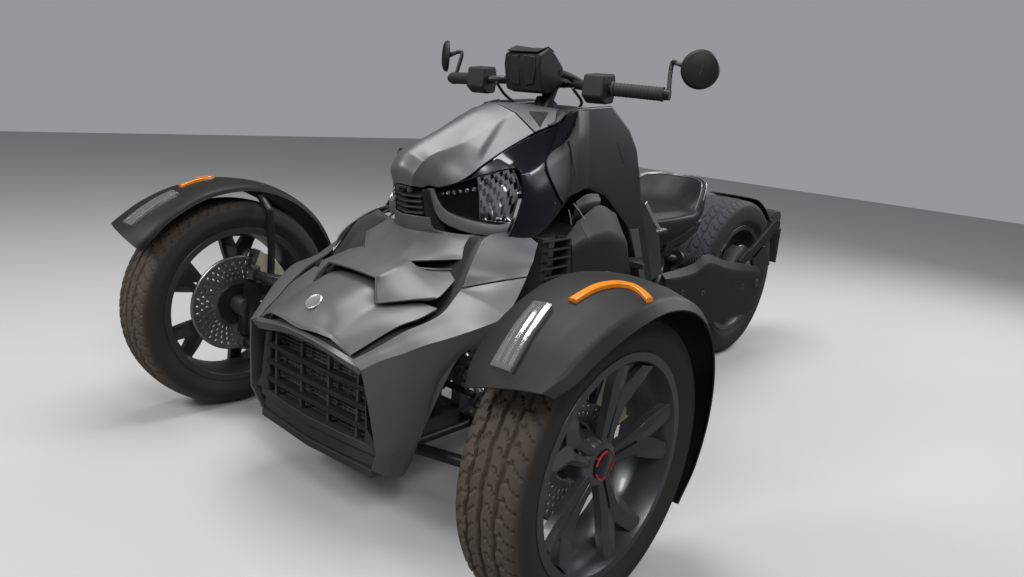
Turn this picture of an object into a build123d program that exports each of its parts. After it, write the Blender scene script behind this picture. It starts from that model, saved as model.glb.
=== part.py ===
from build123d import *
import math
import os

# A motorized trike with two steered front wheels and one driven rear wheel.
# Lengths are millimetres. X runs forward, Y to the rider's left, Z up from the floor.
# Points are written from the front axle's middle, and export moves them to the box middle.

os.makedirs("parts", exist_ok=True)

# Overall sizes
FRONT_REACH = 292.7
WHEELBASE = 1709.0
HALF_TRACK = 628.0
FENDER_OVER = 126.5

# Wheels
FRONT_TYRE_R = 290.0
FRONT_TYRE_W = 145.0
FRONT_RIM_R = 219.0
REAR_TYRE_R = 303.0
REAR_TYRE_W = 205.0
REAR_RIM_R = 207.0
SPINDLE_R = 20.0
RUN_GAP = 0.06

FRONT_DISC_Y = HALF_TRACK - 38.5
REAR_DISC_Y = 96.0

# The plate stands this far behind the rear tyre, and closes the length at 2352
TAIL_GAP = 47.3
REAR_X = -WHEELBASE
TAIL_X = REAR_X - REAR_TYRE_R
LENGTH = FRONT_REACH - TAIL_X + TAIL_GAP
SHIFT_X = LENGTH / 2 - FRONT_REACH

# Places behind the nose are drawn for this wheelbase and follow the real one
DRAWN_WHEELBASE = 1709.0
NOSE_END = -300.0

# Steering
KING_LOW = (2.0, HALF_TRACK - 83.0, FRONT_TYRE_R - 95.0)
KING_HIGH = (-14.0, HALF_TRACK - 101.0, FRONT_TYRE_R + 95.0)
JOINT_PIN_R = 8.0
RACK_X = -100.0
RACK_Z = 262.0
COLUMN_POINT = (-575.0, 0.0, 940.0)
HINGE_X = -74.0
HINGE_Z = 699.0
COLUMN_TILT = 24.0
COLUMN_R = 18.0
RACK_R = 8.0

# Panels
SKIN = 4.0


def at(x):
    """Place along the vehicle, carried with the wheelbase when behind the nose."""
    if x >= NOSE_END:
        return x
    return NOSE_END + (x - NOSE_END) * (WHEELBASE + NOSE_END) / (DRAWN_WHEELBASE + NOSE_END)


def out(y):
    """Place across the vehicle, measured outwards from the front wheel's middle."""
    return HALF_TRACK + y


def up(z):
    """Height measured from the front axle."""
    return FRONT_TYRE_R + z


def back(x):
    """Place along the vehicle, measured forward from the rear axle."""
    return REAR_X + x


def high(z):
    """Height measured from the rear axle."""
    return REAR_TYRE_R + z


def export(shapes, name):
    """Write one named piece, moved from the axle's frame to the box middle."""
    placed = []
    for shape in shapes:
        for solid in shape.solids():
            placed.append(solid.moved(Location((SHIFT_X, 0, 0))))
    whole = Compound(children=placed) if len(placed) > 1 else placed[0]
    export_step(whole, "parts/" + name + ".step")


def facet(*points):
    """Flat face through its corner points."""
    return Face(Wire.make_polygon([Vector(*p) for p in points], close=True))


def closed(corner_lists):
    """Solid inside flat faces, each given by its corners."""
    solid = Solid(Shell([facet(*corners) for corners in corner_lists]))
    if solid.volume < 0:
        solid = Solid(Shell([facet(*corners[::-1]) for corners in corner_lists]))
    return solid


def skin(top, low):
    """Closed panel between an outer and an inner grid of points."""
    rows = len(top)
    cols = len(top[0])
    faces = []
    for i in range(rows - 1):
        for j in range(cols - 1):
            for g in (top, low):
                faces.append((g[i][j], g[i + 1][j], g[i + 1][j + 1]))
                faces.append((g[i][j], g[i + 1][j + 1], g[i][j + 1]))
    rim = [(0, j) for j in range(cols - 1)]
    rim += [(i, cols - 1) for i in range(rows - 1)]
    rim += [(rows - 1, j) for j in range(cols - 1, 0, -1)]
    rim += [(i, 0) for i in range(rows - 1, 0, -1)]
    for k in range(len(rim)):
        i, j = rim[k]
        m, n = rim[(k + 1) % len(rim)]
        faces.append((top[i][j], top[m][n], low[m][n]))
        faces.append((top[i][j], low[m][n], low[i][j]))
    return closed(faces)


def path(points):
    """Points carried along with the wheelbase."""
    return [(at(x), y, z) for x, y, z in points]


def carried(grid):
    """Grid of points carried along with the wheelbase."""
    return [[(at(x), y, z) for x, y, z in row] for row in grid]


def shifted(grid, offset):
    """Grid of points moved by one offset."""
    return [[tuple(p[k] + offset[k] for k in range(3)) for p in row] for row in grid]


def sheet(grid, offset):
    """Panel of even thickness along one direction."""
    return skin(grid, shifted(grid, offset))


def mirrored(shape):
    """The same shape on the other side of the middle plane."""
    return shape.mirror(Plane.XZ)


def pair(shape):
    """A piece and its twin on the other side."""
    return [shape, mirrored(shape)]


def side_prism(points, y_low, y_high):
    """Side-view outline given thickness across the vehicle."""
    outline = Face(Wire.make_polygon([Vector(x, y_low, z) for x, z in points], close=True))
    return extrude(outline, y_high - y_low, dir=(0, 1, 0))


def cross_prism(points, x_low, x_high):
    """Front-view outline given length along the vehicle."""
    outline = Face(Wire.make_polygon([Vector(x_low, y, z) for y, z in points], close=True))
    return extrude(outline, x_high - x_low, dir=(1, 0, 0))


def plan_prism(points, z_low, z_high):
    """Plan-view outline given height."""
    outline = Face(Wire.make_polygon([Vector(x, y, z_low) for x, y in points], close=True))
    return extrude(outline, z_high - z_low, dir=(0, 0, 1))


def block(x_low, x_high, y_low, y_high, z_low, z_high):
    """Box given by its limits."""
    size = (x_high - x_low, y_high - y_low, z_high - z_low)
    middle = ((x_low + x_high) / 2, (y_low + y_high) / 2, (z_low + z_high) / 2)
    return Location(middle) * Box(*size)


def rod(start, end, radius):
    """Round bar between two points."""
    a = Vector(*start)
    b = Vector(*end)
    plane = Plane(origin=a, z_dir=(b - a).normalized())
    return extrude(plane * Circle(radius), (b - a).length)


def tube_path(points, radius):
    """Bent round tube through the points, with ball corners."""
    shape = rod(points[0], points[1], radius)
    for k in range(1, len(points) - 1):
        shape = shape + Pos(*points[k]) * Sphere(radius)
        shape = shape + rod(points[k], points[k + 1], radius)
    return shape


def turned(profile, centre):
    """Ring turned about the axle line through a centre from (radius, y) pairs."""
    x, y, z = centre
    outline = Face(Wire.make_polygon([Vector(x + r, y + w, z) for r, w in profile], close=True))
    return revolve(outline, Axis((x, y, z), (0, 1, 0)), 360)


def between(a, b, share):
    """Point part of the way from one point to another."""
    return tuple(a[k] + (b[k] - a[k]) * share for k in range(3))


# Main frame: arch plates, lower rails, posts and the seat's tubes
ARCH_SIDE = [
    (-470, 896), (-517, 903), (-667, 915), (-757, 853), (-794, 800), (-813, 716),
    (-822, 650), (-903, 360), (-948, 205), (-905, 190), (-845, 370), (-754, 588), (-712, 624),
    (-639, 681), (-570, 702), (-504, 700), (-470, 690),
]
ARCH_TOP_Y = 140.0
ARCH_LEAN = 0.13
ARCH_THICK = 26.0


def arch_plate():
    """Leaning side plate of the frame."""
    lean = math.sqrt(1 + ARCH_LEAN * ARCH_LEAN)
    normal = Vector(0, 1, ARCH_LEAN).normalized()
    corners = []
    for x, z in ARCH_SIDE:
        corners.append(Vector(at(x), ARCH_TOP_Y + (906 - z) * ARCH_LEAN, z))
    outline = Face(Wire.make_polygon(corners, close=True))
    return extrude(outline, ARCH_THICK * lean / lean, dir=tuple(normal * -1))


RAILS = [
    # x_front, x_rear, y_inner, y_outer, z_low, z_high
    (130, -985, 96, 132, 128, 172),
]
POSTS = [
    # x, y, z_low, z_high, half_width
    (40, 114, 172, 392, 15),
    (-190, 114, 172, 392, 15),
]
CROSS = [
    # x_front, x_rear, z_low, z_high
    (130, 94, 132, 168),
    (-174, -206, 132, 168),
    (-174, -206, 360, 392),
    (56, 24, 360, 392),
    (-930, -975, 132, 168),
]


def column_point(s):
    """Point on the steering column's axis, s millimetres above its reference point."""
    a = math.radians(COLUMN_TILT)
    x, y, z = COLUMN_POINT
    x = at(x)
    return (x - s * math.sin(a), y, z + s * math.cos(a))


def pod_stay():
    """Bracket from the arch plate to the inside of the side pod."""
    stay = block(at(-826), at(-694), 184, 262, 484, 500)
    rows = carried(POD_ROWS)
    outside = skin(shifted(rows, (0, 80, 0)), shifted(rows, (0, -SKIN - 0.05, 0)))
    stay = stay - outside
    return stay - block(at(-900), at(-736), 196, 300, 470, 510)


def trim_stays():
    """Left side's brackets for the hood, gloss panel, bin and headlight."""
    over_hood = skin(shifted(hood_grid(), (-2.5, 0, -3.55)), shifted(hood_grid(), (-2.5, 0, 90)))
    hood_stay = block(31, 45, 60, 74, 385, 560) - over_hood
    rows = carried(GLOSS_ROWS)
    outside = skin(shifted(rows, (0.5, -SKIN - 0.05, -0.5)), shifted(rows, (0.5, 60, -0.5)))
    gloss_stay = block(at(-456), at(-442), 150, 200, 738, 750) - outside
    gloss_stay = gloss_stay + block(at(-484), at(-456), 150, 168, 738, 750)
    bin_rail = rod((at(-478), 153, 706), (-322, 78, 668), 6) + block(-340, -232, 68, 88, 662, 688)
    lamp_stay = rod((-238, 80, 678), (-196, 132, 688), 5) - headlight_housings()[0]
    lamp_stay = lamp_stay - headlight_lenses()[0]
    return [hood_stay, gloss_stay, bin_rail, lamp_stay]


FRAME_CELLS = [
    # x_front, x_rear, z_low, z_high of each length of one side, cut off in this order
    (200, -900, 100, 172),
    (-900, -1000, 100, 172),
    (200, -300, 172, 362),
    (200, -205, 362, 430),
    (-205, -470, 362, 760),
    (-470, -570, 600, 950),
    (-570, -639, 600, 950),
    (-639, -754, 550, 950),
    (-754, -905, 588, 950),
    (-754, -905, 370, 588),
    (-780, -950, 235, 370),
    (-880, -1000, 172, 235),
    (-905, -1085, 172, 600),
    (-1085, -1130, 280, 560),
]
FRAME_SPLIT_Y = 90.0


def in_lengths(whole):
    """Frame parted into straight lengths that meet face to face."""
    reach = 400.0
    middle = whole & block(at(-1300), 300, -FRAME_SPLIT_Y, FRAME_SPLIT_Y, 60, 1000)
    stays = block(0, 80, -FRAME_SPLIT_Y, FRAME_SPLIT_Y, 392, 700)
    lengths = list((middle & stays).solids()) + list((middle - stays).solids())
    for y_low, y_high in ((FRAME_SPLIT_Y, reach), (-reach, -FRAME_SPLIT_Y)):
        side = whole & block(at(-1300), 300, y_low, y_high, 60, 1000)
        for x_front, x_rear, z_low, z_high in FRAME_CELLS:
            cell = block(at(x_rear), at(x_front), y_low, y_high, z_low, z_high)
            lengths += list((side & cell).solids())
            side = side - cell
        lengths += list(side.solids())
    return lengths


def frame():
    left = arch_plate() + pod_stay()
    for stay in trim_stays():
        left = left + stay
    for x_front, x_rear, y_in, y_out, z_low, z_high in RAILS:
        left = left + block(at(x_rear), x_front, y_in, y_out, z_low, z_high)
    for x, y, z_low, z_high, half in POSTS:
        left = left + block(x - half, x + half, y - half, y + half, z_low, z_high)
    left = left + block(-190, 40, 99, 129, 362, 392)
    left = left + rod((-188, 114, 380), (at(-490), 161, 702), 13)
    foot = [(-985, 128), (-900, 128), (-905, 215), (-950, 230), (-985, 215)]
    left = left + side_prism([(at(x), z) for x, z in foot], 96, 214)
    left = left + rod((at(-838), 168, 549), (at(-1200), 110, 549), 13)
    left = left + rod((at(-912), 192, 330), (at(-1104), 105, 450), 13)
    left = left + block(at(-1130), at(-1085), 96, 126, 290, 552)
    left = left + rod((at(-960), 120, 190), (at(-1105), 112, 320), 15)
    whole = left + mirrored(left)
    for x_front, x_rear, z_low, z_high in CROSS:
        whole = whole + block(at(x_rear), at(x_front), -110, 110, z_low, z_high)
    whole = whole + block(at(-1130), at(-1090), -126, 126, 430, 470)
    whole = whole + block(at(-560), at(-500), -128, 128, 846, 880)
    whole = whole + rod(column_point(-96), column_point(-30), 30)
    whole = whole - rod(column_point(-110), column_point(0), COLUMN_R + RUN_GAP)
    whole = whole + rod((RACK_X, -140, RACK_Z), (RACK_X, 140, RACK_Z), 21)
    whole = whole + block(RACK_X - 12, RACK_X + 12, 100, 128, 170, RACK_Z)
    whole = whole + block(RACK_X - 12, RACK_X + 12, -128, -100, 170, RACK_Z)
    whole = whole - rod((RACK_X, -150, RACK_Z), (RACK_X, 150, RACK_Z), RACK_R + RUN_GAP)
    return in_lengths(whole)


# Panels between the arch plates
SPINE_TOP = [(-472, 893), (-548, 894), (-662, 901), (-744, 842), (-778, 792), (-797, 712), (-806, 646), (-850, 487)]


def spine_cover():
    grid = []
    for x, z in SPINE_TOP:
        y = ARCH_TOP_Y + (906 - z) * ARCH_LEAN - 26.5
        grid.append([(at(x), -y, z), (at(x), 0, z + 4), (at(x), y, z)])
    cover = sheet(grid, (4.0, 0, -4.0))
    return cover - rod(column_point(-110), column_point(0), 31)


# Hood over the nose: rows from the front edge back, each of middle, slot, flank and seam points
HOOD_ROWS = [
    # (x, z) middle, (x, y, z) inner crease, (x, y, z) outer crease, (x, y, z) seam
    ((201, 416), (201, 60, 419), (199, 108, 421), (188, 163, 390)),
    ((162, 459), (160, 60, 455), (152, 115, 446), (134, 181, 423)),
    ((100, 485), (98, 66, 481), (95, 120, 470), (70, 205, 453)),
    ((50, 505), (48, 72, 501), (44, 130, 490), (15, 224, 474)),
    ((0, 530), (-2, 76, 524), (-8, 140, 512), (-49, 209, 517)),
    ((-50, 560), (-52, 76, 552), (-60, 135, 545), (-96, 190, 545)),
    ((-100, 603), (-112, 70, 598), (-130, 120, 594), (-150, 171, 584)),
]
HOOD_SLOTS = [
    # x_front, x_rear, y_low, y_high through openings, both sides where not on the middle
    (72, 50, -72, 72),
    (56, 20, 128, 186),
    (-52, -76, 78, 160),
]


def hood_grid():
    grid = []
    for mid, inner, outer, seam in HOOD_ROWS:
        row = [(seam[0], -seam[1], seam[2]), (outer[0], -outer[1], outer[2]), (inner[0], -inner[1], inner[2])]
        row += [(mid[0], 0, mid[1]), inner, outer, seam]
        grid.append(row)
    return grid


def hood():
    shape = sheet(hood_grid(), (-2.5, 0, -3.5))
    for x_front, x_rear, y_low, y_high in HOOD_SLOTS:
        shape = shape - block(x_rear, x_front, y_low, y_high, 380, 640)
        if y_low > 0:
            shape = shape - block(x_rear, x_front, -y_high, -y_low, 380, 640)
    return shape


# Lower front body: rows from the mouth's rim back, each from the seam down to the lower edge
FASCIA_ROWS = [
    # seam, shoulder, widest, low
    ((190, 168, 383), (193, 202, 374), (170, 236, 196), (158, 209, 146)),
    ((158, 181, 402), (158, 224, 394), (140, 246, 196), (132, 214, 130)),
    ((128, 190, 417), (127, 247, 407), (108, 252, 205), (106, 217, 121)),
    ((88, 205, 441), (90, 273, 425), (68, 254, 214), (70, 218, 117)),
    ((42, 221, 457), (48, 300, 440), (40, 262, 318), (42, 244, 236)),
    ((8, 232, 469), (-5, 327, 458), (10, 305, 398), (16, 298, 388)),
    ((-46, 219, 510), (-78, 336, 470), (-50, 318, 418), (-46, 312, 404)),
    ((-94, 199, 539), (-140, 322, 492), (-118, 326, 470), (-112, 322, 458)),
]
COVER_ROWS = [
    # inner, middle, outer of the upper cover, behind the lower front body
    ((-88, 200, 534), (-110, 260, 511), (-136, 319, 488)),
    ((-136, 186, 574), (-176, 250, 548), (-200, 300, 522)),
    ((-172, 200, 574), (-222, 245, 572), (-240, 280, 552)),
    ((-235, 220, 590), (-280, 232, 600), (-290, 250, 590)),
]
def fascia():
    side = sheet([list(row) for row in FASCIA_ROWS], (-2.0, -SKIN, -1.0))
    cover = sheet([list(row) for row in COVER_ROWS], (0, -1.5, -SKIN))
    lip = [
        [(193, 202, 374), (196, 150, 382), (206, 60, 398), (207, 0, 400)],
        [(181, 186, 356), (184, 140, 364), (190, 60, 380), (191, 0, 382)],
    ]
    lip_half = skin(
        lip,
        [[(x - 3, y, z - 4) for x, y, z in row] for row in lip],
    )
    chin_bar = plan_prism([(158, 206), (162, 120), (170, 0), (150, 0), (130, 60), (130, 214)], 128, 146)
    half = side + cover + lip_half + chin_bar
    return half + mirrored(half)


# Grille bars in the mouth
GRILLE_BARS = [
    # z, half_width, half_height
    (188, 214, 10), (229, 218, 4), (272, 214, 4), (313, 204, 4),
]
GRILLE_POSTS = [-150, -50, 50, 150]


def grille():
    parts = []
    for z, half, half_height in GRILLE_BARS:
        parts.append(plan_prism(
            [(150, -half), (176, -110), (186, 0), (176, 110), (150, half), (142, half), (168, 108),
             (178, 0), (168, -108), (142, -half)], z - half_height, z + half_height))
    whole = parts[0]
    for p in parts[1:]:
        whole = whole + p
    for y in GRILLE_POSTS:
        x = 178 - abs(y) * 0.1
        whole = whole + block(x - 16, x - 6, y - 3, y + 3, 172, 346)
    tray = plan_prism([(150, -200), (172, -100), (180, 0), (172, 100), (150, 200), (136, 190), (136, -190)], 146, 172)
    return whole + tray


def radiator():
    core = block(118, 132, -176, 176, 178, 344)
    tanks = block(112, 134, 176, 192, 172, 350) + block(112, 134, -192, -176, 172, 350)
    fins = core
    for k in range(8):
        z = 190 + k * 20
        fins = fins + block(132, 135, -170, 170, z - 2, z + 2)
    mounts = block(112, 130, 100, 128, 172, 178)
    return fins + tanks + mounts + mirrored(mounts)


# Column under the top cover with a slatted face
CHIN_SLATS = [618, 640, 662, 684]


def chin():
    """Slatted front column between the hood and the top cover."""
    body = skin(
        [
            [(-108, -60, 580), (-92, 0, 580), (-108, 60, 580)],
            [(-87, -46, 692), (-71, 0, 692), (-87, 46, 692)],
        ],
        [
            [(-130, -60, 580), (-114, 0, 580), (-130, 60, 580)],
            [(-109, -46, 692), (-93, 0, 692), (-109, 46, 692)],
        ],
    )
    for z in CHIN_SLATS:
        body = body - block(-100, -60, -38, 38, z - 5, z + 5)
    wing = skin(
        [
            [(-110, 61, 592), (-150, 120, 606), (-200, 160, 620)],
            [(-106, 58, 640), (-140, 100, 644), (-200, 170, 646)],
        ],
        [
            [(-116, 58, 590), (-154, 116, 603), (-204, 156, 617)],
            [(-112, 54, 640), (-144, 95, 642), (-204, 165, 643)],
        ],
    )
    lug = block(HINGE_X - 5, HINGE_X + 4, 13.5, 24.5, 688, HINGE_Z + 4)
    whole = body + wing + mirrored(wing) + lug + mirrored(lug)
    whole = whole - hinge_rod(-30, 30, 2.55)
    whole = whole - skin(hood_grid(), shifted(hood_grid(), (0, 0, -60)))
    return whole - sheet(hood_grid(), (-2.5, 0, -3.5))


# Headlights: lens corner points and a housing behind them
LAMP_FRONT = [
    [(-124, 70, 690), (-154, 106, 719), (-190, 150, 742), (-222, 194, 760)],
    [(-127, 74, 672), (-150, 108, 688), (-190, 160, 708), (-228, 212, 724)],
    [(-136, 84, 656), (-156, 110, 658), (-190, 160, 656), (-220, 206, 660)],
]


def headlight_lenses():
    low = [[(x - 3, y - 2, z) for x, y, z in row] for row in LAMP_FRONT]
    return pair(skin(LAMP_FRONT, low))


def headlight_housings():
    top = [[(x - 3.2, y - 2.2, z) for x, y, z in row] for row in LAMP_FRONT]
    back = [[(x - 28, y - 36, z - 13) for x, y, z in row] for row in LAMP_FRONT]
    return pair(skin(top, back))


# Gloss side panels: rows from the front tip back, upper edge to lower edge
GLOSS_ROWS = [
    [(-224, 130, 774), (-242, 206, 750), (-242, 214, 690), (-196, 216, 606), (-142, 222, 583)],
    [(-262, 135, 796), (-276, 200, 752), (-276, 218, 690), (-250, 226, 622), (-220, 236, 594)],
    [(-330, 142, 826), (-346, 190, 766), (-350, 208, 700), (-330, 220, 640), (-296, 230, 613)],
    [(-410, 152, 856), (-420, 178, 790), (-424, 190, 730), (-408, 200, 680), (-388, 208, 650)],
    [(-500, 152, 896), (-496, 168, 830), (-480, 176, 780), (-452, 186, 720), (-432, 192, 684)],
]


BROW_ROWS = [
    # lid side and lamp side of the strip over the headlight, from its tip back
    [(-167, 117, 731), (-168, 121, 731)],
    [(-195, 127, 756), (-191, 151, 747)],
    [(-226, 131, 774), (-226, 198, 765)],
    [(-236, 132, 780), (-250, 204, 753)],
]


def gloss_panels():
    rows = carried(GLOSS_ROWS)
    low = [[(x + 0.5, y - SKIN, z - 0.5) for x, y, z in row] for row in rows]
    return pair(skin(rows, low) + sheet([list(row) for row in BROW_ROWS], (-0.5, -1.0, -3.0)))


# Top cover that opens, then the fixed part under the gauge
LID_ROWS = [
    # x, z on the middle, then inner crease y, z and edge x, y, z
    (-68, 706, 30, 706, -92, 48, 704),
    (-58, 745, 40, 734, -104, 57, 703),
    (-76, 776, 46, 748, -118, 66, 704),
    (-120, 800, 56, 770, -140, 92, 716),
    (-165, 820, 60, 789, -162, 110, 734),
    (-225, 846, 62, 814, -200, 121, 763),
    (-290, 876, 66, 844, -262, 128, 798),
    (-352, 896, 72, 876, -352, 138, 838),
]
DECK_ROWS = [
    (-358, 897, 72, 877, -358, 138, 840),
    (-420, 901, 78, 890, -420, 142, 862),
    (-464, 902, 84, 895, -464, 144, 880),
    (-468, 902, 84, 895, -468, 113, 890),
    (-500, 899, 80, 896, -500, 112, 892),
]


def cover_grid(rows):
    grid = []
    for x, z, y_in, z_in, x_edge, y_edge, z_edge in rows:
        x = at(x)
        x_edge = at(x_edge)
        mid_x = (x + x_edge) / 2
        grid.append([
            (x_edge, -y_edge, z_edge), (mid_x, -y_in, z_in), (x, 0, z), (mid_x, y_in, z_in),
            (x_edge, y_edge, z_edge),
        ])
    return grid


def hinge_rod(y_low, y_high, radius):
    """Round piece of the lid's hinge."""
    return rod((HINGE_X, y_low, HINGE_Z), (HINGE_X, y_high, HINGE_Z), radius)


def top_cover():
    lid = sheet(cover_grid(LID_ROWS), (-1.5, 0, -SKIN))
    for side in (-1, 1):
        y_low, y_high = sorted((side * 12.5, side * 25.5))
        lid = lid - block(HINGE_X - 12, HINGE_X + 12, y_low, y_high, 680, 712)
    return lid + hinge_rod(-12.5, 12.5, 5) + hinge_rod(-24, 24, 2.5)


def deck():
    return sheet(cover_grid(DECK_ROWS), (0, 0, -SKIN))


def glove_bin():
    outer = block(at(-345), -212, -88, 88, 688, 778)
    inner = block(at(-341), -216, -84, 84, 692, 790)
    return outer - inner


# Side pods: panel rows from the front back, top edge to bottom edge
POD_ROWS = [
    [(-300, 232, 598), (-306, 246, 540), (-322, 246, 470), (-350, 228, 400), (-380, 205, 330)],
    [(-395, 236, 598), (-400, 252, 580), (-420, 252, 470), (-440, 236, 380), (-460, 212, 300)],
    [(-453, 222, 632), (-470, 248, 590), (-500, 248, 470), (-520, 236, 380), (-540, 214, 280)],
    [(-560, 206, 664), (-580, 240, 590), (-605, 244, 470), (-625, 238, 380), (-640, 218, 260)],
    [(-640, 205, 640), (-680, 230, 560), (-708, 238, 450), (-722, 235, 360), (-745, 218, 255)],
    [(-655, 200, 636), (-705, 208, 556), (-738, 204, 450), (-765, 216, 360), (-790, 207, 255)],
]


def side_pods():
    parts = sheet(carried(POD_ROWS[1:]), (0, -SKIN, 0))
    for z in (480, 506, 532, 558, 584):
        parts = parts + plan_prism([(-304, 240), (at(-398), 246), (at(-398), 206), (-330, 200)], z - 2, z + 2)
    parts = parts + block(at(-402), at(-396), 200, 248, 470, 596)
    parts = parts + block(-326, -306, 196, 240, 470, 596)
    return pair(parts)


def engine():
    outline = [(-400, 180), (-880, 180), (-880, 420), (-760, 470), (-700, 570), (-470, 570), (-400, 440)]
    body = side_prism([(at(x), z) for x, z in outline], -128, 128)
    feet = block(at(-480), at(-440), 100, 128, 172, 180) + block(at(-860), at(-820), 100, 128, 172, 180)
    return body + feet + mirrored(feet)


def muffler():
    body = rod((at(-1010), -196, 250), (at(-1380), -196, 275), 62)
    bend = [(-880, -96, 270), (-935, -96, 270), (-985, -170, 258), (-1012, -196, 250)]
    pipe = tube_path([(at(x), y, z) for x, y, z in bend], 20)
    tip = rod((at(-1378), -196, 275), (at(-1420), -196, 278), 26)
    tip = tip - rod((at(-1390), -196, 276), (at(-1421), -196, 278), 22)
    return body + pipe + tip


# Seat: base pan outline in plan, then the cushion above it
SEAT_HALF = [
    (-862, 96), (-935, 128), (-1080, 156), (-1196, 160), (-1244, 154), (-1300, 124), (-1350, 66), (-1362, 0),
]


def seat_outline(scale):
    left = [(at(x), y * scale) for x, y in SEAT_HALF]
    right = [(at(x), -y * scale) for x, y in reversed(SEAT_HALF[:-1])]
    return left + right


def seat_base():
    pan = plan_prism(seat_outline(0.92), 562, 578)
    foot = block(at(-1160), at(-980), -84, 84, 536, 562)
    return pan + foot


def seat_cushion():
    pad = plan_prism(seat_outline(0.97), 578.3, 606)
    top = []
    low = []
    for x, y in SEAT_HALF[2:]:
        rise = max(0.0, min(1.0, (-1190 - x) / 76.0))
        x = at(x)
        top.append([(x, y, 604 + 96 * rise), (x + 22, y * 0.84, 603 + 90 * rise)])
        low.append([(x, y, 600), (x + 60, y * 0.55, 600)])
    left = []
    for k in range(len(top)):
        left.append([low[k][0], top[k][0], top[k][1], low[k][1]])
    rim_faces = skin(
        [[row[1], row[2]] for row in left],
        [[row[0], row[3]] for row in left],
    )
    return pad + rim_faces + mirrored(rim_faces)


def foot_pegs():
    arm = block(at(-560), at(-520), 132, 150, 140, 250) + rod((at(-540), 148, 232), (at(-540), 330, 238), 11)
    peg = block(at(-585), at(-500), 236, 330, 234, 246)
    heel = tube_path([(at(-560), 148, 180), (at(-600), 215, 200), (at(-600), 280, 215)], 8)
    left = arm + peg + heel
    bend = [(-540, -141, 222), (-492, -215, 240), (-462, -278, 262), (-452, -286, 330)]
    pedal = tube_path([(at(x), y, z) for x, y, z in bend], 8)
    pedal = pedal + block(at(-458), at(-446), -318, -266, 322, 372)
    return left + mirrored(left) + pedal


# Front suspension
def king_point(s):
    """Point on the steering axis, s millimetres up from the lower ball joint."""
    low = Vector(*KING_LOW)
    high = Vector(*KING_HIGH)
    p = low + (high - low).normalized() * s
    return (p.X, p.Y, p.Z)


KING_LENGTH = math.dist(KING_LOW, KING_HIGH)


def arms_side():
    lower_hub = rod(king_point(-13), king_point(13), 19)
    upper_hub = rod(king_point(KING_LENGTH - 12), king_point(KING_LENGTH + 12), 17)
    low_mid = king_point(0)
    high_mid = king_point(KING_LENGTH)
    lower = lower_hub + rod(low_mid, (40, 135, 152), 13) + rod(low_mid, (-190, 135, 152), 13)
    lower = lower + rod((34, 180, 157), (-166, 180, 157), 10) + block(-62, 12, out(-232), out(-190), 170, 198)
    upper = upper_hub + rod(high_mid, (5, 135, 378), 11) + rod(high_mid, (-190, 135, 378), 11)
    bore_low = rod(king_point(-40), king_point(40), JOINT_PIN_R + RUN_GAP)
    bore_high = rod(king_point(KING_LENGTH - 40), king_point(KING_LENGTH + 40), JOINT_PIN_R + RUN_GAP)
    lower = lower - bore_low
    upper = upper - bore_high
    pivots = [
        rod((24, 135, 152), (56, 135, 152), 15) + rod((-174, 135, 152), (-206, 135, 152), 15),
        rod((-11, 135, 378), (21, 135, 378), 14) + rod((-174, 135, 378), (-206, 135, 378), 14),
    ]
    lower = lower + pivots[0]
    upper = upper + pivots[1]
    cut_low = block(-240, 130, 60, 132, 120, 260)
    cut_high = block(-240, 130, 60, 129, 300, 420)
    return [lower - cut_low, upper - cut_high]


def suspension_arms():
    left = arms_side()
    return left + [mirrored(s) for s in left]


SHOCK_LOW = (-30.0, HALF_TRACK - 211.0, 214.0)
SHOCK_HIGH = (-45.0, 190.0, 430.0)


def shock(low, high, coil_r, turns, eye_r):
    """Coil-over unit: damper tube, spring seats and the spring's rings."""
    body = rod(low, between(low, high, 0.55), eye_r * 0.7) + rod(between(low, high, 0.5), high, eye_r * 0.9)
    body = body + rod(between(low, high, 0.09), between(low, high, 0.12), coil_r)
    body = body + rod(between(low, high, 0.80), between(low, high, 0.84), coil_r)
    for k in range(turns):
        share = 0.14 + 0.64 * k / (turns - 1)
        ring_low = between(low, high, share)
        ring_high = between(low, high, share + 0.022)
        body = body + rod(ring_low, ring_high, coil_r - 1)
    body = body + Pos(*low) * Sphere(eye_r) + Pos(*high) * Sphere(eye_r)
    return body


REAR_SHOCK_LOW = (at(-1372.0), 134.0, 408.0)
REAR_SHOCK_HIGH = (at(-1088.0), 140.0, 456.0)


def shocks():
    front = shock(SHOCK_LOW, SHOCK_HIGH, 30, 7, 16)
    rear = shock(REAR_SHOCK_LOW, REAR_SHOCK_HIGH, 21, 9, 13)
    tie = block(-67, -23, 120, 204, 424, 442)
    hanger = block(-67, -23, 99, 129, 392, 442)
    front = front + tie + hanger
    rear = rear + rod((at(-1088), 126, 456), REAR_SHOCK_HIGH, 8)
    rear = rear + rod((at(-1372), 137, 406), (at(-1372), 137, 380), 8)
    return [front, mirrored(front), rear]


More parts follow.
